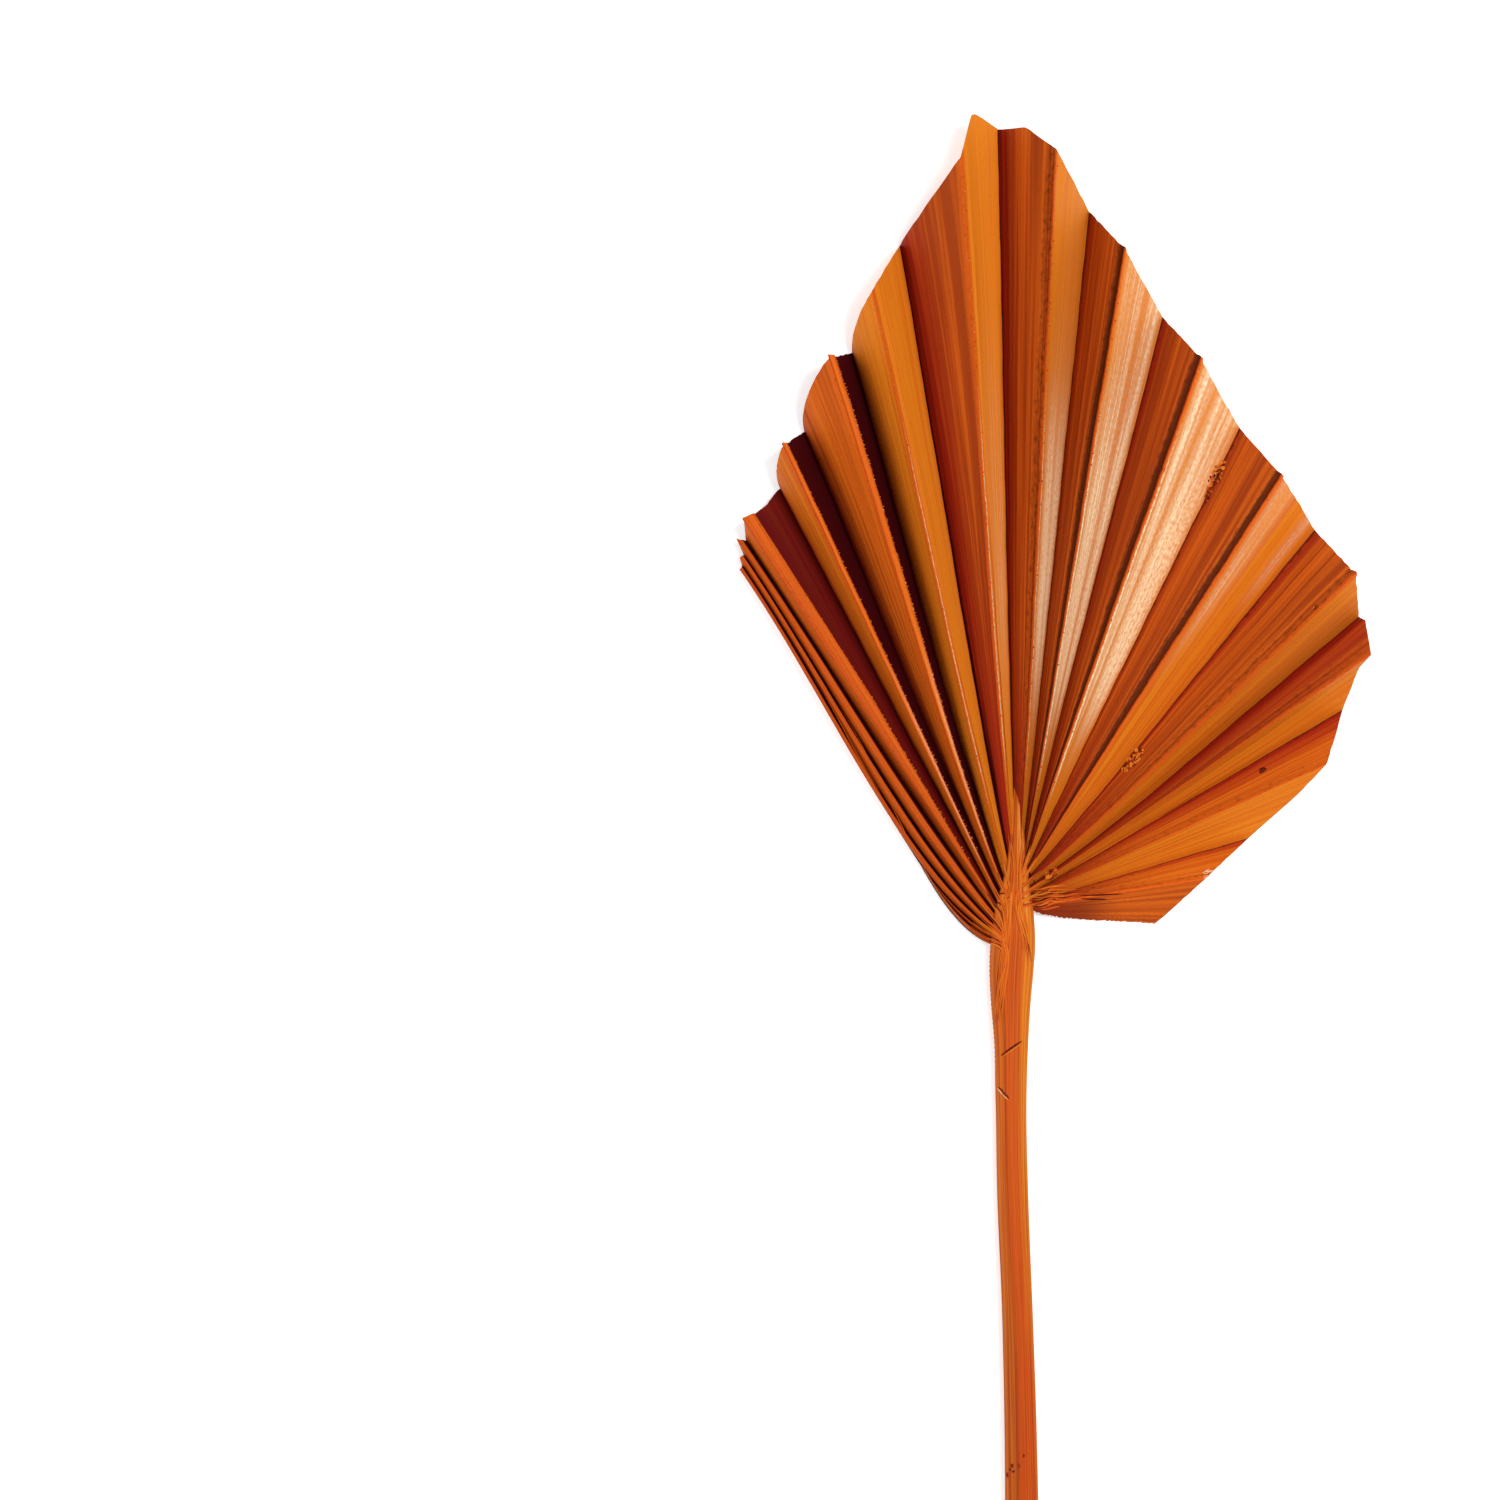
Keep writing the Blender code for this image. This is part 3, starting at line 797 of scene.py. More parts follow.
def new_piece(name, points, faces, masks, places, material, sharp_angle=None):
    """Object in the scene with its painted masks and material, tied to the solid that it stands for."""
    mesh = bpy.data.meshes.new(name)
    mesh.from_pydata(np.vstack(points).tolist(), [], faces)
    for mask, values in masks.items():
        layer = mesh.color_attributes.new(mask, "FLOAT_COLOR", "POINT")
        layer.data.foreach_set("color", np.vstack(values).astype(np.float32).ravel())
    layer = mesh.uv_layers.new(name="leaf")
    corner_points = np.empty(len(mesh.loops), dtype=np.int32)
    mesh.loops.foreach_get("vertex_index", corner_points)
    layer.data.foreach_set("uv", np.vstack(places).astype(np.float32)[corner_points].ravel())
    mesh.shade_smooth()
    if sharp_angle:
        mesh.set_sharp_from_angle(angle=math.radians(sharp_angle))
    mesh.materials.append(material)
    piece = new_object(name, mesh)
    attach(piece, "root")
    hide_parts(NODE)
    return piece


def grid_faces(rows, columns, offset=0, flip=False):
    """Quads of a grid whose points are stored column by column."""
    faces = []
    for column in range(columns - 1):
        for row in range(rows - 1):
            a = offset + column * rows + row
            quad = (a, a + rows, a + rows + 1, a + 1)
            faces.append(quad[::-1] if flip else quad)
    return faces


def rim_faces(rows, count, base):
    """Quads that close the gap between the top and the underside round the blade."""
    faces = []
    for column in range(count - 1):
        for row, flip in ((0, False), (rows - 1, True)):
            a = column * rows + row
            quad = (a, a + base, a + base + rows, a + rows)
            faces.append(quad[::-1] if flip else quad)
    for column, flip in ((0, True), (count - 1, False)):
        for row in range(rows - 1):
            a = column * rows + row
            quad = (a, a + base, a + base + 1, a + 1)
            faces.append(quad[::-1] if flip else quad)
    return faces


def pleated_blade(material):
    """The fan: a pleated sheet with ribs on its crests, closed round its trimmed edge."""
    draw = np.random.default_rng(7)
    top, under, paints, ribs, places = [], [], [], [], []
    for plan, height, drop, paint, rib, place in blade_columns():
        cut = plan[-1] - plan[-2]
        plan[-1] -= cut / np.linalg.norm(cut) * draw.uniform(0, TRIM_JITTER)
        top.append(np.column_stack([plan + HUB, np.minimum(height, BOX_HIGH[2] - TOP_CLEARANCE)]))
        under.append(np.column_stack([plan + HUB, np.maximum(height - drop, 0)]))
        paints.append(paint)
        ribs.append(rib)
        places.append(place)
    count, base = len(top), len(top) * ROWS
    faces = grid_faces(ROWS, count) + grid_faces(ROWS, count, base, True) + rim_faces(ROWS, count, base)
    masks = {"paint": paints * 2, "rib": ribs * 2}
    return new_piece("pleated_blade", top + under, faces, masks, places * 2, material, BLADE_SHARP_ANGLE)


def smooth_through(values, positions, wanted):
    """Smooth curve through given values."""
    slopes = np.gradient(values, positions)
    index = np.clip(np.searchsorted(positions, wanted) - 1, 0, len(positions) - 2)
    span = positions[index + 1] - positions[index]
    t = (wanted - positions[index]) / span
    first = (2 * t ** 3 - 3 * t ** 2 + 1) * values[index] + (t ** 3 - 2 * t ** 2 + t) * span * slopes[index]
    second = (-2 * t ** 3 + 3 * t ** 2) * values[index + 1] + (t ** 3 - t ** 2) * span * slopes[index + 1]
    return first + second


def stalk_ring():
    """Profile of the stalk with many sides."""
    profile = np.array(STALK_PROFILE)
    closed = np.vstack([profile, profile[:1]])
    steps = np.linalg.norm(np.diff(closed, axis=0), axis=1)
    lengths = np.concatenate([[0], np.cumsum(steps)])
    wanted = np.linspace(0, lengths[-1], STALK_SIDES, endpoint=False)
    ring = np.column_stack([np.interp(wanted, lengths, closed[:, axis]) for axis in (0, 1)])
    for _ in range(2):
        ring = (np.roll(ring, 1, axis=0) + 2 * ring + np.roll(ring, -1, axis=0)) / 4
    return ring


def margin_teeth(place):
    """How far the stalk's left margin is bitten in at a place along it, near the hub."""
    near_hub = smooth_rise(place, *TEETH_FROM) * smooth_rise(place, *TEETH_TO)
    return MARGIN_TOOTH_DEPTH * near_hub * abs(math.sin(place * math.pi / MARGIN_TOOTH))


def lengthwise_ribs(side, place):
    """Rise of the stalk's ribs at a place along it."""
    coarse = np.sin(side * COARSE_RIBS[0] + 1 + RIB_SWAY * np.sin(place * SWAY_RATE)) * COARSE_RIBS[1]
    return coarse + np.sin(side * FINE_RIBS[0] + 2 + place * FINE_TURN_RATE) * FINE_RIBS[1]


def stalk(material):
    """Stalk from its cut end to the tongue between the middle pleats, with lengthwise ribs."""
    sections = np.array(STALK_SECTIONS)
    below = np.linspace(sections[0, 0], CLOSE_ROWS_FROM, STALK_ROWS_BELOW, endpoint=False)
    along = np.concatenate([below, np.linspace(CLOSE_ROWS_FROM, sections[-1, 0], STALK_ROWS_ABOVE)])
    edges = [smooth_through(sections[:, k], sections[:, 0], along) for k in (1, 2, 3)]
    side, up = stalk_ring().T
    upper = np.clip((up - UPPER_FROM) / UPPER_FADE, 0, 1)
    every = np.ones(STALK_SIDES)
    points, paints, places = [], [], []
    for place, left, right, high in zip(along, *edges):
        bitten = margin_teeth(place) * smooth_rise(side, *MARGIN_SIDE)
        x = (left + right) / 2 + (right - left) / 2 * side * SLIMMER + bitten
        z = high * up * LOWER + lengthwise_ribs(side, place) * upper
        points.append(np.column_stack([x + HUB[0], every * (place + HUB[1]), np.maximum(z, 0)]))
        fades = [every * smooth_rise(place, *END_BANDS), every * smooth_rise(place, *TONGUE_BANDS)]
        paints.append(np.column_stack([side * 0.5 + 0.5] + fades + [every]))
        places.append(np.column_stack([side, every * place * CENTIMETRES]))
    faces = []
    last_ring = (len(along) - 1) * STALK_SIDES
    for base in range(0, last_ring, STALK_SIDES):
        for corner in range(STALK_SIDES):
            a, b = base + corner, base + (corner + 1) % STALK_SIDES
            faces.append((a, b, b + STALK_SIDES, a + STALK_SIDES))
    faces.append(tuple(range(STALK_SIDES))[::-1])
    faces.append(tuple(range(last_ring, last_ring + STALK_SIDES)))
    return new_piece("stalk", points, faces, {"paint": paints}, places, material, STALK_SHARP_ANGLE)


# Small details. Each part of them is its points, its faces, a tone from 0 for dark to 1 for pale, and
# places.

def top_of(pieces):
    """Search tree of all the faces of some pieces."""
    points, faces = [], []
    for piece in pieces:
        base = len(points)
        points += [vertex.co.copy() for vertex in piece.data.vertices]
        faces += [[base + corner for corner in polygon.vertices] for polygon in piece.data.polygons]
    return BVHTree.FromPolygons(points, faces)


def heights_over(surface, plan):
    """Height of what is under each point of a path."""
    heights = []
    for x, y in plan + HUB:
        place = surface.ray_cast(Vector((x, y, BOX_HIGH[2] + 0.01)), Vector((0, 0, -1)))[0]
        heights.append(place.z if place else (heights[-1] if heights else HUB_LEVEL))
    return np.array(heights)


def bridged(heights):
    """The same heights with narrow dips bridged and the rest smoothed."""
    padded = np.pad(heights, 1, mode="edge")
    highest = np.max([padded[:-2], padded[1:-1], padded[2:]], axis=0)
    padded = np.pad(highest, 2, mode="edge")
    return sum(padded[start:start + len(heights)] for start in range(5)) / 5


def right_of(path):
    """Unit vectors to the right of a path's own direction."""
    steps = np.gradient(path, axis=0)
    return np.column_stack([steps[:, 1], -steps[:, 0]]) / np.linalg.norm(steps, axis=1)[:, None]


def ridge(surface, plan, width, rise, tone, seed, skirt=RIDGE_SKIRT):
    """Half-round ridge along a path, with pointed ends, laid over what is under it."""
    side = right_of(plan)
    heights = bridged(heights_over(surface, plan))
    taper = np.sqrt(np.sin(np.linspace(RIDGE_TIP, math.pi - RIDGE_TIP, len(plan))))
    turns = [0.0] + list(np.linspace(0, math.pi, RIDGE_TURNS)) + [math.pi]
    points, places = [], []
    for index, turn in enumerate(turns):
        lowered = skirt if index in (0, len(turns) - 1) else 0
        across = -math.cos(turn) * width / 2 * taper
        up = math.sin(turn) * rise * taper - lowered
        points.append(np.column_stack([plan + HUB + side * across[:, None], np.maximum(heights + up, 0)]))
        across_grain = np.full(len(plan), seed + turn / math.pi)
        places.append(np.column_stack([across_grain, run_along(plan) * CENTIMETRES]))
    return np.vstack(points), grid_faces(len(plan), len(turns)), tone, np.vstack(places)


def wavy_path(wrinkle):
    """Path between two places that swings from side to side."""
    share = np.linspace(0, 1, WAVY_STEPS)[:, None]
    start, end = np.array(wrinkle.start), np.array(wrinkle.end)
    side = np.array([end[1] - start[1], start[0] - end[0]]) / np.linalg.norm(end - start)
    swing = np.sin(share * wrinkle.waves * 2 * math.pi + 1) * np.sin(share * math.pi)
    return start + (end - start) * share + side * wrinkle.swing * swing


def strand_path(fold, course, draw):
    """Path of one strand: in along a crest, over its root and down into the stalk."""
    run = run_along(course)
    inward = course[run < STRAND_REACH * draw.uniform(0.6, 1)][::-1]
    root = course[0]
    end = np.array([by_bearing(STRAND_END_X, fold.bearing), by_bearing(STRAND_END_Y, fold.bearing)])
    end = end + draw.uniform(-1, 1, 2) * (STRAND_SPREAD, STRAND_END_SPREAD)
    length = np.linalg.norm(end - root)
    near = root - direction(fold.leave) * STRAND_NEAR * length
    far = end + np.array([0, STRAND_FAR * length])
    path = np.vstack([inward, curve(root, near, far, end, np.linspace(0, 1, STRAND_STEPS)[1:])])
    return path + right_of(path) * draw.uniform(-1, 1) * STRAND_SPREAD


def hub_strands(surface):
    """Strands that run out of the stalk and up the crests."""
    draw = np.random.default_rng(21)
    parts = []
    for index, fold in crests(WHOLE_FAN):
        for _ in range(STRANDS_PER_CREST):
            path = strand_path(fold, fold_course(fold), draw)
            width = STRAND_WIDTH * draw.uniform(0.6, 1.1)
            # A dark strand lies low: painted shade for a gap between the strands
            dark = draw.uniform() < DARK_STRANDS
            rise = STRAND_RISE * (0.3 if dark else draw.uniform(0.6, 1.1))
            tone = draw.uniform(0.1, 0.2) if dark else draw.uniform(0.34, 0.66)
            parts.append(ridge(surface, path, width, rise, tone, index * 3 + len(parts)))
    return parts


def wrinkles(surface):
    """Wrinkled bunch to the right of the hub, and slits and creases by the hub painted dark as shade."""
    parts = []
    for bunch, size, seed in ((WRINKLES, WRINKLE_SIZE, 80), (SLITS, SLIT_SIZE, 100)):
        for index, each in enumerate(bunch):
            parts.append(ridge(surface, wavy_path(each), *size, each.tone, seed + index))
    return parts


def cuts(surface):
    """Dark cuts in the stalk, each with a pale lifted rim; on the upper cut its pale is a painted highlight.
    """
    parts = []
    for index, each in enumerate(STALK_CUTS):
        path = wavy_path(each)
        rim = path + right_of(path) * RIM_OFFSET[index]
        parts.append(ridge(surface, path, CUT_WIDTH, CUT_RISE, each.tone, 120 + index))
        parts.append(ridge(surface, rim, RIM_WIDTH, RIM_RISE, RIM_TONE[index], 130 + index))
    return parts


def lump(centre, size, draw, tone):
    """Small rough crumb."""
    shape = bmesh.new()
    bmesh.ops.create_icosphere(shape, subdivisions=2, radius=size)
    points = np.array([vertex.co for vertex in shape.verts])
    faces = [tuple(vertex.index for vertex in face.verts) for face in shape.faces]
    shape.free()
    points = points * draw.uniform(0.75, 1.25, (len(points), 1))
    points = points * draw.uniform(0.6, 1.3, 3) * (1, 1, CRUMB_FLATNESS)
    return points + centre, faces, tone, points[:, :2] * GRAIN_PLACES + draw.uniform(0, 50, 2)


def on_surface(surface, plan, lift=0.0):
    """Point on what is under a plan place."""
    return np.array([plan[0] + HUB[0], plan[1] + HUB[1], heights_over(surface, np.array([plan]))[0] + lift])


def crumbs(surface):
    """Crumbs of the rough patches, scars on the stalk, and the knob to the right of the hub."""
    draw = np.random.default_rng(33)
    parts = []
    for patch in PATCHES:
        along, across = direction(patch.bearing), direction(patch.bearing + 90)
        for _ in range(patch.crumbs):
            angle, radius = draw.uniform(0, 2 * math.pi), math.sqrt(draw.uniform(0, 1))
            plan = np.array(patch.middle) + along * patch.length * radius * math.cos(angle)
            plan = plan + across * patch.width * radius * math.sin(angle)
            dark = draw.uniform() < DARK_CRUMBS
            size = CRUMB_SIZE * draw.uniform(0.5, 1.3)
            foot = on_surface(surface, plan, -CRUMB_SINK * size)
            tone = DARK_CRUMB_TONE if dark else patch.tone + draw.uniform(-TONE_SPREAD, TONE_SPREAD)
            parts.append(lump(foot, size, draw, tone))
    for x, y, size in STALK_SCARS:
        parts.append(lump(on_surface(surface, (x, y), -SCAR_SINK * size), size, draw, SCAR_TONE))
    parts.append(lump(on_surface(surface, KNOB, -KNOB_SINK), KNOB_SIZE, draw, KNOB_TONE))
    return parts


def crest_edge(index):
    """Path of the right edge of a crest's brim, or of its rib where it has no brim."""
    course, brim = fold_course(FOLDS[index]), FOLDS[index].brim
    width = np.linalg.norm(fold_course(FOLDS[index + 1]) - course, axis=1)
    edge = np.minimum(brim, BRIM_LIMIT * width) if brim else 0.4 * RIB_WIDTH * np.ones(ROWS)
    path = course + right_of(course) * (edge - EDGE_INSET)[:, None]
    return path[run_along(course) > EDGE_FROM]


def spots_along(path, spacing, draw):
    """Places at uneven steps along a path, each with the direction to its right."""
    run = run_along(path)
    values = np.column_stack([path, right_of(path)]).T
    place = spacing
    while place < run[-1] - spacing:
        spot = [np.interp(place, run, value) for value in values]
        yield spot[:2], spot[2:]
        place += spacing * draw.uniform(0.3, 2.0)


def teeth(surface):
    """Small torn points on the right edges of the wide crests on the left half."""
    draw = np.random.default_rng(44)
    parts = []
    for index, _ in crests(WIDE_BRIMS):
        for plan, side in spots_along(crest_edge(index), TOOTH_SPACING, draw):
            size = TOOTH_SIZE * draw.uniform(0.4, 1.2)
            foot = on_surface(surface, plan)
            out = np.array([side[0], side[1], TOOTH_LIFT]) * size
            length = np.array([-side[1], side[0], 0]) * size * TOOTH_HALF_LENGTH
            points = np.array([foot - length, foot + length, foot + out, foot - (0, 0, TOOTH_ROOT)])
            faces = [(0, 2, 1), (0, 3, 2), (1, 2, 3), (0, 1, 3)]
            parts.append((points, faces, draw.uniform(0.45, 0.68), points[:, :2] * GRAIN_PLACES))
    return parts


def beads(surface):
    """Grains along the ribs of the middle crests, some dark and some bright."""
    draw = np.random.default_rng(55)
    parts = []
    for index, _ in crests(GRAINED):
        for plan, _ in spots_along(crest_edge(index), BEAD_SPACING, draw):
            tone = DARK_BEAD_TONE if draw.uniform() < DARK_BEADS else BRIGHT_BEAD_TONE
            parts.append(lump(on_surface(surface, plan), BEAD_SIZE * draw.uniform(0.6, 1.3), draw, tone))
    return parts


def frayed_hairs(surface):
    """Loose hairs at a frayed place of the trimmed edge."""
    draw = np.random.default_rng(66)
    parts = []
    for _ in range(HAIR_COUNT):
        start = np.array(FRAY) + draw.uniform(-1, 1, 2) * FRAY_SPREAD
        away = direction(draw.uniform(60, 110)) * HAIR_LENGTH * draw.uniform(0.5, 1)
        far = start + away * 0.7 + (0, HAIR_SAG)
        path = curve(start, start + away / 3, far, start + away, np.linspace(0, 1, HAIR_STEPS))
        parts.append(ridge(surface, path, *HAIR_SIZE, HAIR_TONE, 140, HAIR_SKIRT))
    return parts


def joined_piece(name, parts, material):
    """One piece made of many small parts."""
    points, faces, paints, places = [], [], [], []
    base = 0
    for shape, sides, tone, spots in parts:
        points.append(shape)
        faces += [tuple(base + corner for corner in face) for face in sides]
        paints.append(np.column_stack([np.full(len(shape), tone)] * 3 + [np.ones(len(shape))]))
        places.append(spots)
        base += len(shape)
    return new_piece(name, points, faces, {"paint": paints}, places, material)


# Materials

def new_material(name):
    """Material with its node tree and shader."""
    material = bpy.data.materials.new(name)
    material.use_nodes = True
    return material, material.node_tree, material.node_tree.nodes["Principled BSDF"]


def feed(tree, socket, value):
    """Link an output to a socket, or set its value."""
    if isinstance(value, bpy.types.NodeSocket):
        tree.links.new(value, socket)
    elif value is not None:
        socket.default_value = value


def new_node(tree, kind, inputs, output=0, **settings):
    """Node with its settings and inputs, as one of its outputs."""
    node = tree.nodes.new("ShaderNode" + kind)
    for name, value in settings.items():
        setattr(node, name, value)
    for socket, value in inputs.items():
        feed(tree, node.inputs[socket], value)
    return node.outputs[output]


def noise(tree, across, along, detail=2):
    """Noise with so many steps across a pleat face or the stalk, and so many along a centimetre."""
    places = new_node(tree, "UVMap", {}, uv_map="leaf")
    scaled = new_node(tree, "VectorMath", {0: places, 1: (across, along, 1)}, operation="MULTIPLY")
    return new_node(tree, "TexNoise", {"Vector": scaled, "Scale": 1, "Detail": detail}, "Fac")


def window(tree, value, low, high, to_low=0.0, to_high=1.0):
    """Stretch a range of values, clamped at its ends."""
    limits = {"From Min": low, "From Max": high, "To Min": to_low, "To Max": to_high}
    return new_node(tree, "MapRange", {"Value": value, **limits}, "Result")


def maths(tree, operation, first, second):
    """Sum, product or power of two values."""
    return new_node(tree, "Math", {0: first, 1: second}, operation=operation)


def times(tree, first, *others):
    """Product of several values."""
    for other in others:
        first = maths(tree, "MULTIPLY", first, other)
    return first


def blend(tree, share, first, second):
    """Mix of two colours."""
    inputs = {0: share, 6: first, 7: second}
    return new_node(tree, "Mix", inputs, 2, data_type="RGBA", clamp_factor=True)


def painted(tree, name):
    """The four masks that are painted on the mesh."""
    source = tree.nodes.new("ShaderNodeVertexColor")
    source.layer_name = name
    parts = tree.nodes.new("ShaderNodeSeparateColor")
    tree.links.new(source.outputs["Color"], parts.inputs[0])
    return parts.outputs[0], parts.outputs[1], parts.outputs[2], source.outputs["Alpha"]


def dry_surface(tree, shader, colour, roughness, reliefs):
    """Give a dull surface its looks. Each relief has its value, its depth and its strength."""
    feed(tree, shader.inputs["Base Color"], colour)
    feed(tree, shader.inputs["Roughness"], roughness)
    shader.inputs["Specular IOR Level"].default_value = DULL_SPECULAR
    normal = None
    for height, depth, strength in reliefs:
        inputs = {"Height": height, "Distance": depth, "Strength": strength, "Normal": normal}
        normal = new_node(tree, "Bump", inputs, "Normal")
    tree.links.new(normal, shader.inputs["Normal"])


def colour_bands(tree, value, bands):
    """Colours along a value, from a list of stops."""
    node = tree.nodes.new("ShaderNodeValToRGB")
    stops = node.color_ramp.elements
    while len(stops) < len(bands):
        stops.new(0.5)
    for stop, (position, colour) in zip(stops, bands):
        stop.position = position
        stop.color = colour
    feed(tree, node.inputs[0], value)
    return node.outputs[0]


DULL_SPECULAR = 0.05
GOLD = (0.60, 0.165, 0.008, 1)
ORANGE = (0.52, 0.095, 0.006, 1)
RUST = (0.26, 0.035, 0.004, 1)
CRIMSON = (0.28, 0.005, 0.006, 1)
MAROON = (0.045, 0.0015, 0.0025, 1)
GROOVE_SHADOW_BROWN = (0.070, 0.011, 0.002, 1)
RIB_RED = (0.62, 0.090, 0.008, 1)
PALE_FIBRE_AND_SHEEN = (0.84, 0.67, 0.43, 1)
PALE = (1.0, 0.80, 0.48, 1)
MARGIN_SHEEN_SALMON = (0.45, 0.115, 0.022, 1)
TAN = (0.46, 0.100, 0.012, 1)
BROWN = (0.20, 0.035, 0.006, 1)
DEEP_RED = (0.24, 0.020, 0.004, 1)
STALK_RED = (0.46, 0.060, 0.006, 1)
END_RED = (0.40, 0.044, 0.004, 1)
STALK_GOLD = (0.58, 0.165, 0.012, 1)
TONGUE_HIGHLIGHT_GOLD = (0.70, 0.27, 0.06, 1)

# Colours across the stalk from its left edge to its right, by the hub, at the cut end and on the tongue.
# The salmon of the left margin is painted sheen, and the pale gold on the tongue a painted highlight.
BANDS_AT_HUB = [(0.0, MARGIN_SHEEN_SALMON), (0.115, MARGIN_SHEEN_SALMON), (0.135, BROWN), (0.165, TAN), (0.275, TAN),
                (0.315, DEEP_RED), (0.38, STALK_RED), (0.70, STALK_RED), (0.80, STALK_GOLD),
                (1.0, STALK_GOLD)]
BANDS_AT_END = [(0.0, BROWN), (0.04, MARGIN_SHEEN_SALMON), (0.11, MARGIN_SHEEN_SALMON), (0.14, BROWN), (0.24, TAN), (0.38, BROWN),
                (0.46, END_RED), (0.92, END_RED), (1.0, STALK_GOLD)]
BANDS_ON_TONGUE = [(0.0, TAN), (0.2, STALK_GOLD), (0.4, STALK_RED), (0.52, STALK_GOLD), (0.68, TONGUE_HIGHLIGHT_GOLD),
                   (0.85, STALK_GOLD), (1.0, TAN)]


def blade_material():
    """Dyed, dry blade: golden and rusty veins, with painted crimson shade, painted shade and a painted pale
    sheen.
    """
    material, tree, shader = new_material("dyed leaf blade")
    warmth, crimson_shade, shade, painted_sheen = painted(tree, "paint")
    rib, shine, ragged = painted(tree, "rib")[:3]
    broad = noise(tree, 5, 0.10)
    veins = noise(tree, 18, 0.14, 3)
    hairs = noise(tree, 60, 0.4)
    grain = noise(tree, 60, 26)
    stripes = noise(tree, 8, 0.05)
    speckle = noise(tree, 24, 9)
    dashes = noise(tree, 30, 9, 1)
    warm = maths(tree, "ADD", warmth, window(tree, veins, 0.36, 0.64, -0.18, 0.18))
    warm = maths(tree, "ADD", warm, window(tree, stripes, 0.4, 0.6, -0.1, 0.1))
    colour = blend(tree, window(tree, warm, 0.0, 0.5), RUST, ORANGE)
    colour = blend(tree, window(tree, warm, 0.5, 1.0), colour, GOLD)
    # Painted shade: crimson toward the valleys and near the hub
    red = times(tree, crimson_shade, window(tree, veins, 0.3, 0.6, 1.0, 0.75))
    colour = blend(tree, red, colour, CRIMSON)
    # Painted sheen: pale paint, broken by streaks, where a face turns to the light
    streaks = window(tree, veins, 0.44, 0.54, 1.0, 0.35)
    bands = window(tree, stripes, 0.42, 0.6, 1.0, 0.7)
    sheen_cover = times(tree, painted_sheen, streaks, bands, window(tree, speckle, 0.38, 0.62, 0.5, 1.0))
    colour = blend(tree, sheen_cover, colour, PALE_FIBRE_AND_SHEEN)
    colour = blend(tree, times(tree, rib, window(tree, dashes, 0.35, 0.65, 1.0, 0.55)), colour, RIB_RED)
    colour = blend(tree, times(tree, rib, window(tree, dashes, 0.62, 0.72, 0, 0.5)), colour, CRIMSON)
    # Painted highlights along the ribs and brim lips, and a broad painted sheen
    colour = blend(tree, times(tree, shine, window(tree, dashes, 0.42, 0.58, 1.0, 0.3)), colour, PALE)
    # Painted shade: maroon in the slots and gutters, brown where the rib's shadow is painted into a groove
    bites = window(tree, noise(tree, 14, 6), 0.35, 0.65, -0.55, 1.4)
    shade = maths(tree, "POWER", shade, maths(tree, "ADD", times(tree, ragged, bites), 1.0))
    colour = blend(tree, shade, colour, blend(tree, ragged, MAROON, GROOVE_SHADOW_BROWN))
    colour = blend(tree, window(tree, speckle, 0.55, 0.75, 0, 0.12), colour, MAROON)
    reliefs = ((veins, 0.00025, 0.8), (hairs, 0.00008, 0.6), (grain, 0.00004, 0.7))
    dry_surface(tree, shader, colour, window(tree, broad, 0.3, 0.7, 0.58, 0.7), reliefs)
    return material


def stalk_material():
    """Stalk: fibres along it, golden right flank, and a paler left margin that is painted sheen."""
    material, tree, shader = new_material("dyed leaf stalk")
    side, end, tongue = painted(tree, "paint")[:3]
    fibres = noise(tree, 10, 0.10, 3)
    fine = noise(tree, 15, 0.2)
    threads = noise(tree, 60, 0.35)
    place = maths(tree, "ADD", side, window(tree, fibres, 0.3, 0.7, -0.02, 0.02))
    colour = colour_bands(tree, place, BANDS_AT_HUB)
    colour = blend(tree, end, colour, colour_bands(tree, place, BANDS_AT_END))
    colour = blend(tree, tongue, colour, colour_bands(tree, place, BANDS_ON_TONGUE))
    colour = blend(tree, window(tree, fibres, 0.46, 0.6, 0, 0.6), colour, TAN)
    colour = blend(tree, window(tree, fine, 0.5, 0.66, 0, 0.55), colour, DEEP_RED)
    colour = blend(tree, window(tree, threads, 0.5, 0.68, 0, 0.5), colour, BROWN)
    colour = blend(tree, window(tree, threads, 0.3, 0.44, 0.35, 0), colour, STALK_GOLD)
    dry_surface(tree, shader, colour, 0.7, ((fibres, 0.0002, 0.7), (fine, 0.0001, 0.6)))
    return material


def fibre_material():
    """Bare fibre: maroon in the slits, where shade is painted, orange where the dye took and pale where it
    is torn.
    """
    material, tree, shader = new_material("dried fibre")
    tone = painted(tree, "paint")[0]
    strands = noise(tree, 5, 0.8, 3)
    grain = noise(tree, 12, 10)
    lit = maths(tree, "ADD", tone, window(tree, strands, 0.3, 0.7, -0.12, 0.12))
    colour = blend(tree, window(tree, lit, 0.05, 0.35), MAROON, STALK_RED)
    colour = blend(tree, window(tree, lit, 0.35, 0.7), colour, STALK_GOLD)
    colour = blend(tree, window(tree, lit, 0.7, 1.05), colour, PALE_FIBRE_AND_SHEEN)
    dry_surface(tree, shader, colour, 0.6, ((strands, 0.00008, 0.7), (grain, 0.00004, 0.6)))
    return material


# Studio

FLOOR_HALF = 4.0
FLOOR_LEVEL = -0.0002
PAPER = (0.9, 0.9, 0.9, 1)
PAPER_GLOW = 0.35
SKY_STRENGTH = 0.45
LIT_PLACE = (0, 0.06, 0.01)
SENSOR_WIDTH = 36

# Each softbox has its name, its place, its size and its power
SOFTBOXES = [
    ("main", (0.62, 0.35, 1.9), 0.6, 34.0),
    ("left fill", (-0.95, 0.2, 1.0), 0.8, 7.0),
    ("front fill", (0.35, -1.0, 0.9), 0.8, 3.0),
]


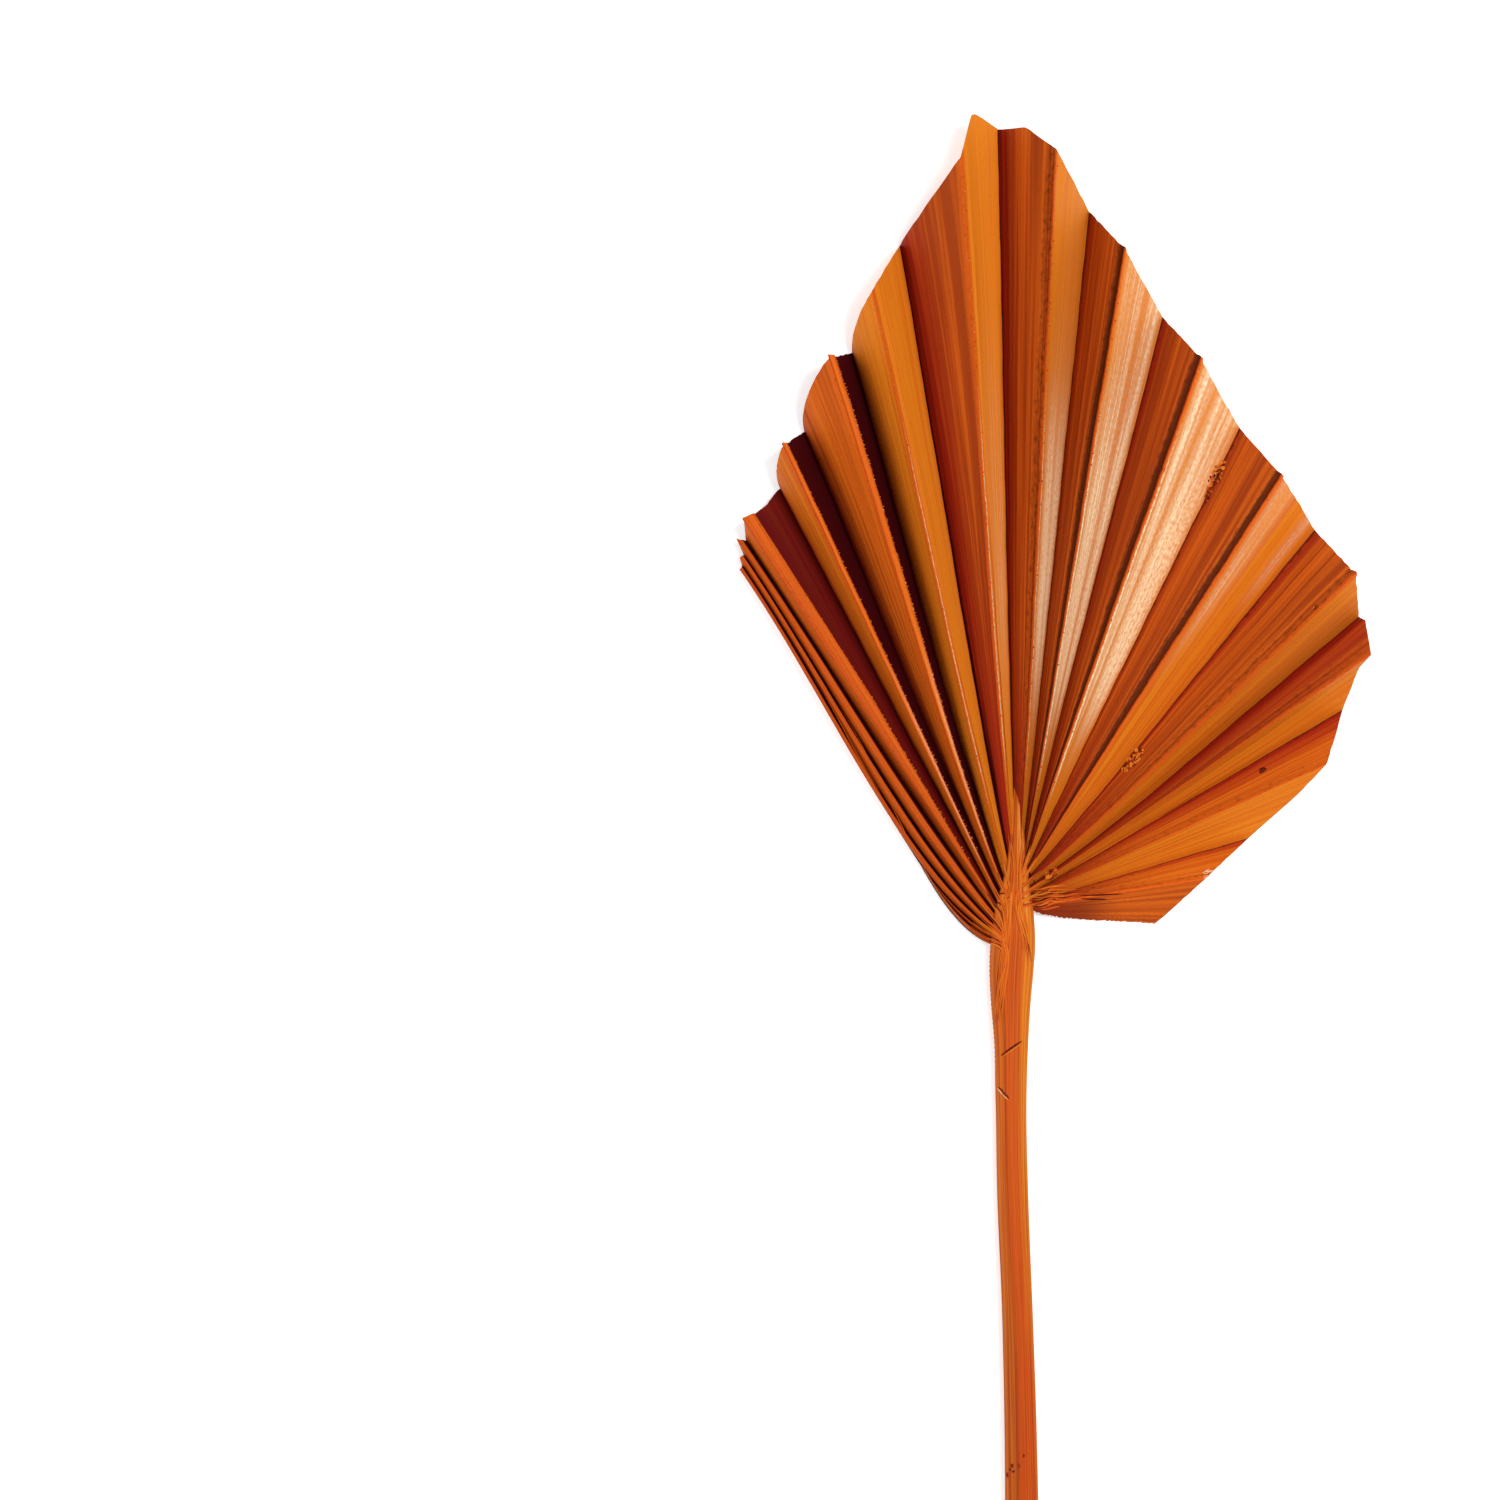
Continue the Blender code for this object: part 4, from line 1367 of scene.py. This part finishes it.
def paper_floor():
    """Plain pale floor."""
    mesh = bpy.data.meshes.new("floor")
    corners = [(x * FLOOR_HALF, y * FLOOR_HALF, 0) for x, y in ((-1, -1), (1, -1), (1, 1), (-1, 1))]
    mesh.from_pydata(corners, [], [(0, 1, 2, 3)])
    floor = new_object("floor", mesh)
    floor.location.z = FLOOR_LEVEL
    material, _, shader = new_material("pale paper")
    shader.inputs["Base Color"].default_value = PAPER
    shader.inputs["Roughness"].default_value = 0.9
    shader.inputs["Emission Color"].default_value = (1, 1, 1, 1)
    shader.inputs["Emission Strength"].default_value = PAPER_GLOW
    mesh.materials.append(material)


def softbox(name, place, size, power):
    """Soft light that looks at the blade."""
    light = bpy.data.lights.new(name, "AREA")
    light.shape = "SQUARE"
    light.size = size
    light.energy = power
    lamp = new_object(name, light)
    lamp.location = place
    aim = np.array([*HUB, 0]) + LIT_PLACE - place
    down = math.acos(-aim[2] / np.linalg.norm(aim))
    lamp.rotation_euler = (down, 0, math.atan2(aim[1], aim[0]) - math.pi / 2)


def studio():
    """Soft light all round, with the main softbox high on the right."""
    world = bpy.data.worlds.new("studio")
    world.use_nodes = True
    backdrop = world.node_tree.nodes["Background"]
    backdrop.inputs["Color"].default_value = (1, 1, 1, 1)
    backdrop.inputs["Strength"].default_value = SKY_STRENGTH
    bpy.context.scene.world = world
    for each in SOFTBOXES:
        softbox(*each)
    bpy.context.scene.view_settings.view_transform = "Standard"


def camera():
    """Camera straight above the middle of the photograph's frame."""
    middle = PHOTO_SIDE / 2
    data = bpy.data.cameras.new("camera")
    data.sensor_width = SENSOR_WIDTH
    data.lens = SENSOR_WIDTH * CAMERA_HEIGHT / (PHOTO_SIDE * PIXEL)
    eye = new_object("camera", data)
    x = HUB[0] + (middle - HUB_PIXEL[0]) * PIXEL
    y = HUB[1] + (HUB_PIXEL[1] - middle) * PIXEL
    eye.location = (x, y, CAMERA_HEIGHT + LEAF_LEVEL)
    bpy.context.scene.camera = eye


camera()
paper_floor()
studio()
blade = pleated_blade(blade_material())
stem = stalk(stalk_material())
leaf_top = top_of([blade, stem])
fibre = fibre_material()
SMALL_PIECES = [
    ("hub_strands", hub_strands),
    ("hub_wrinkles", wrinkles),
    ("stalk_cuts", cuts),
    ("crumbs", crumbs),
    ("crest_teeth", teeth),
    ("rib_grains", beads),
    ("frayed_hairs", frayed_hairs),
]
for name, make in SMALL_PIECES:
    joined_piece(name, make(leaf_top), fibre)
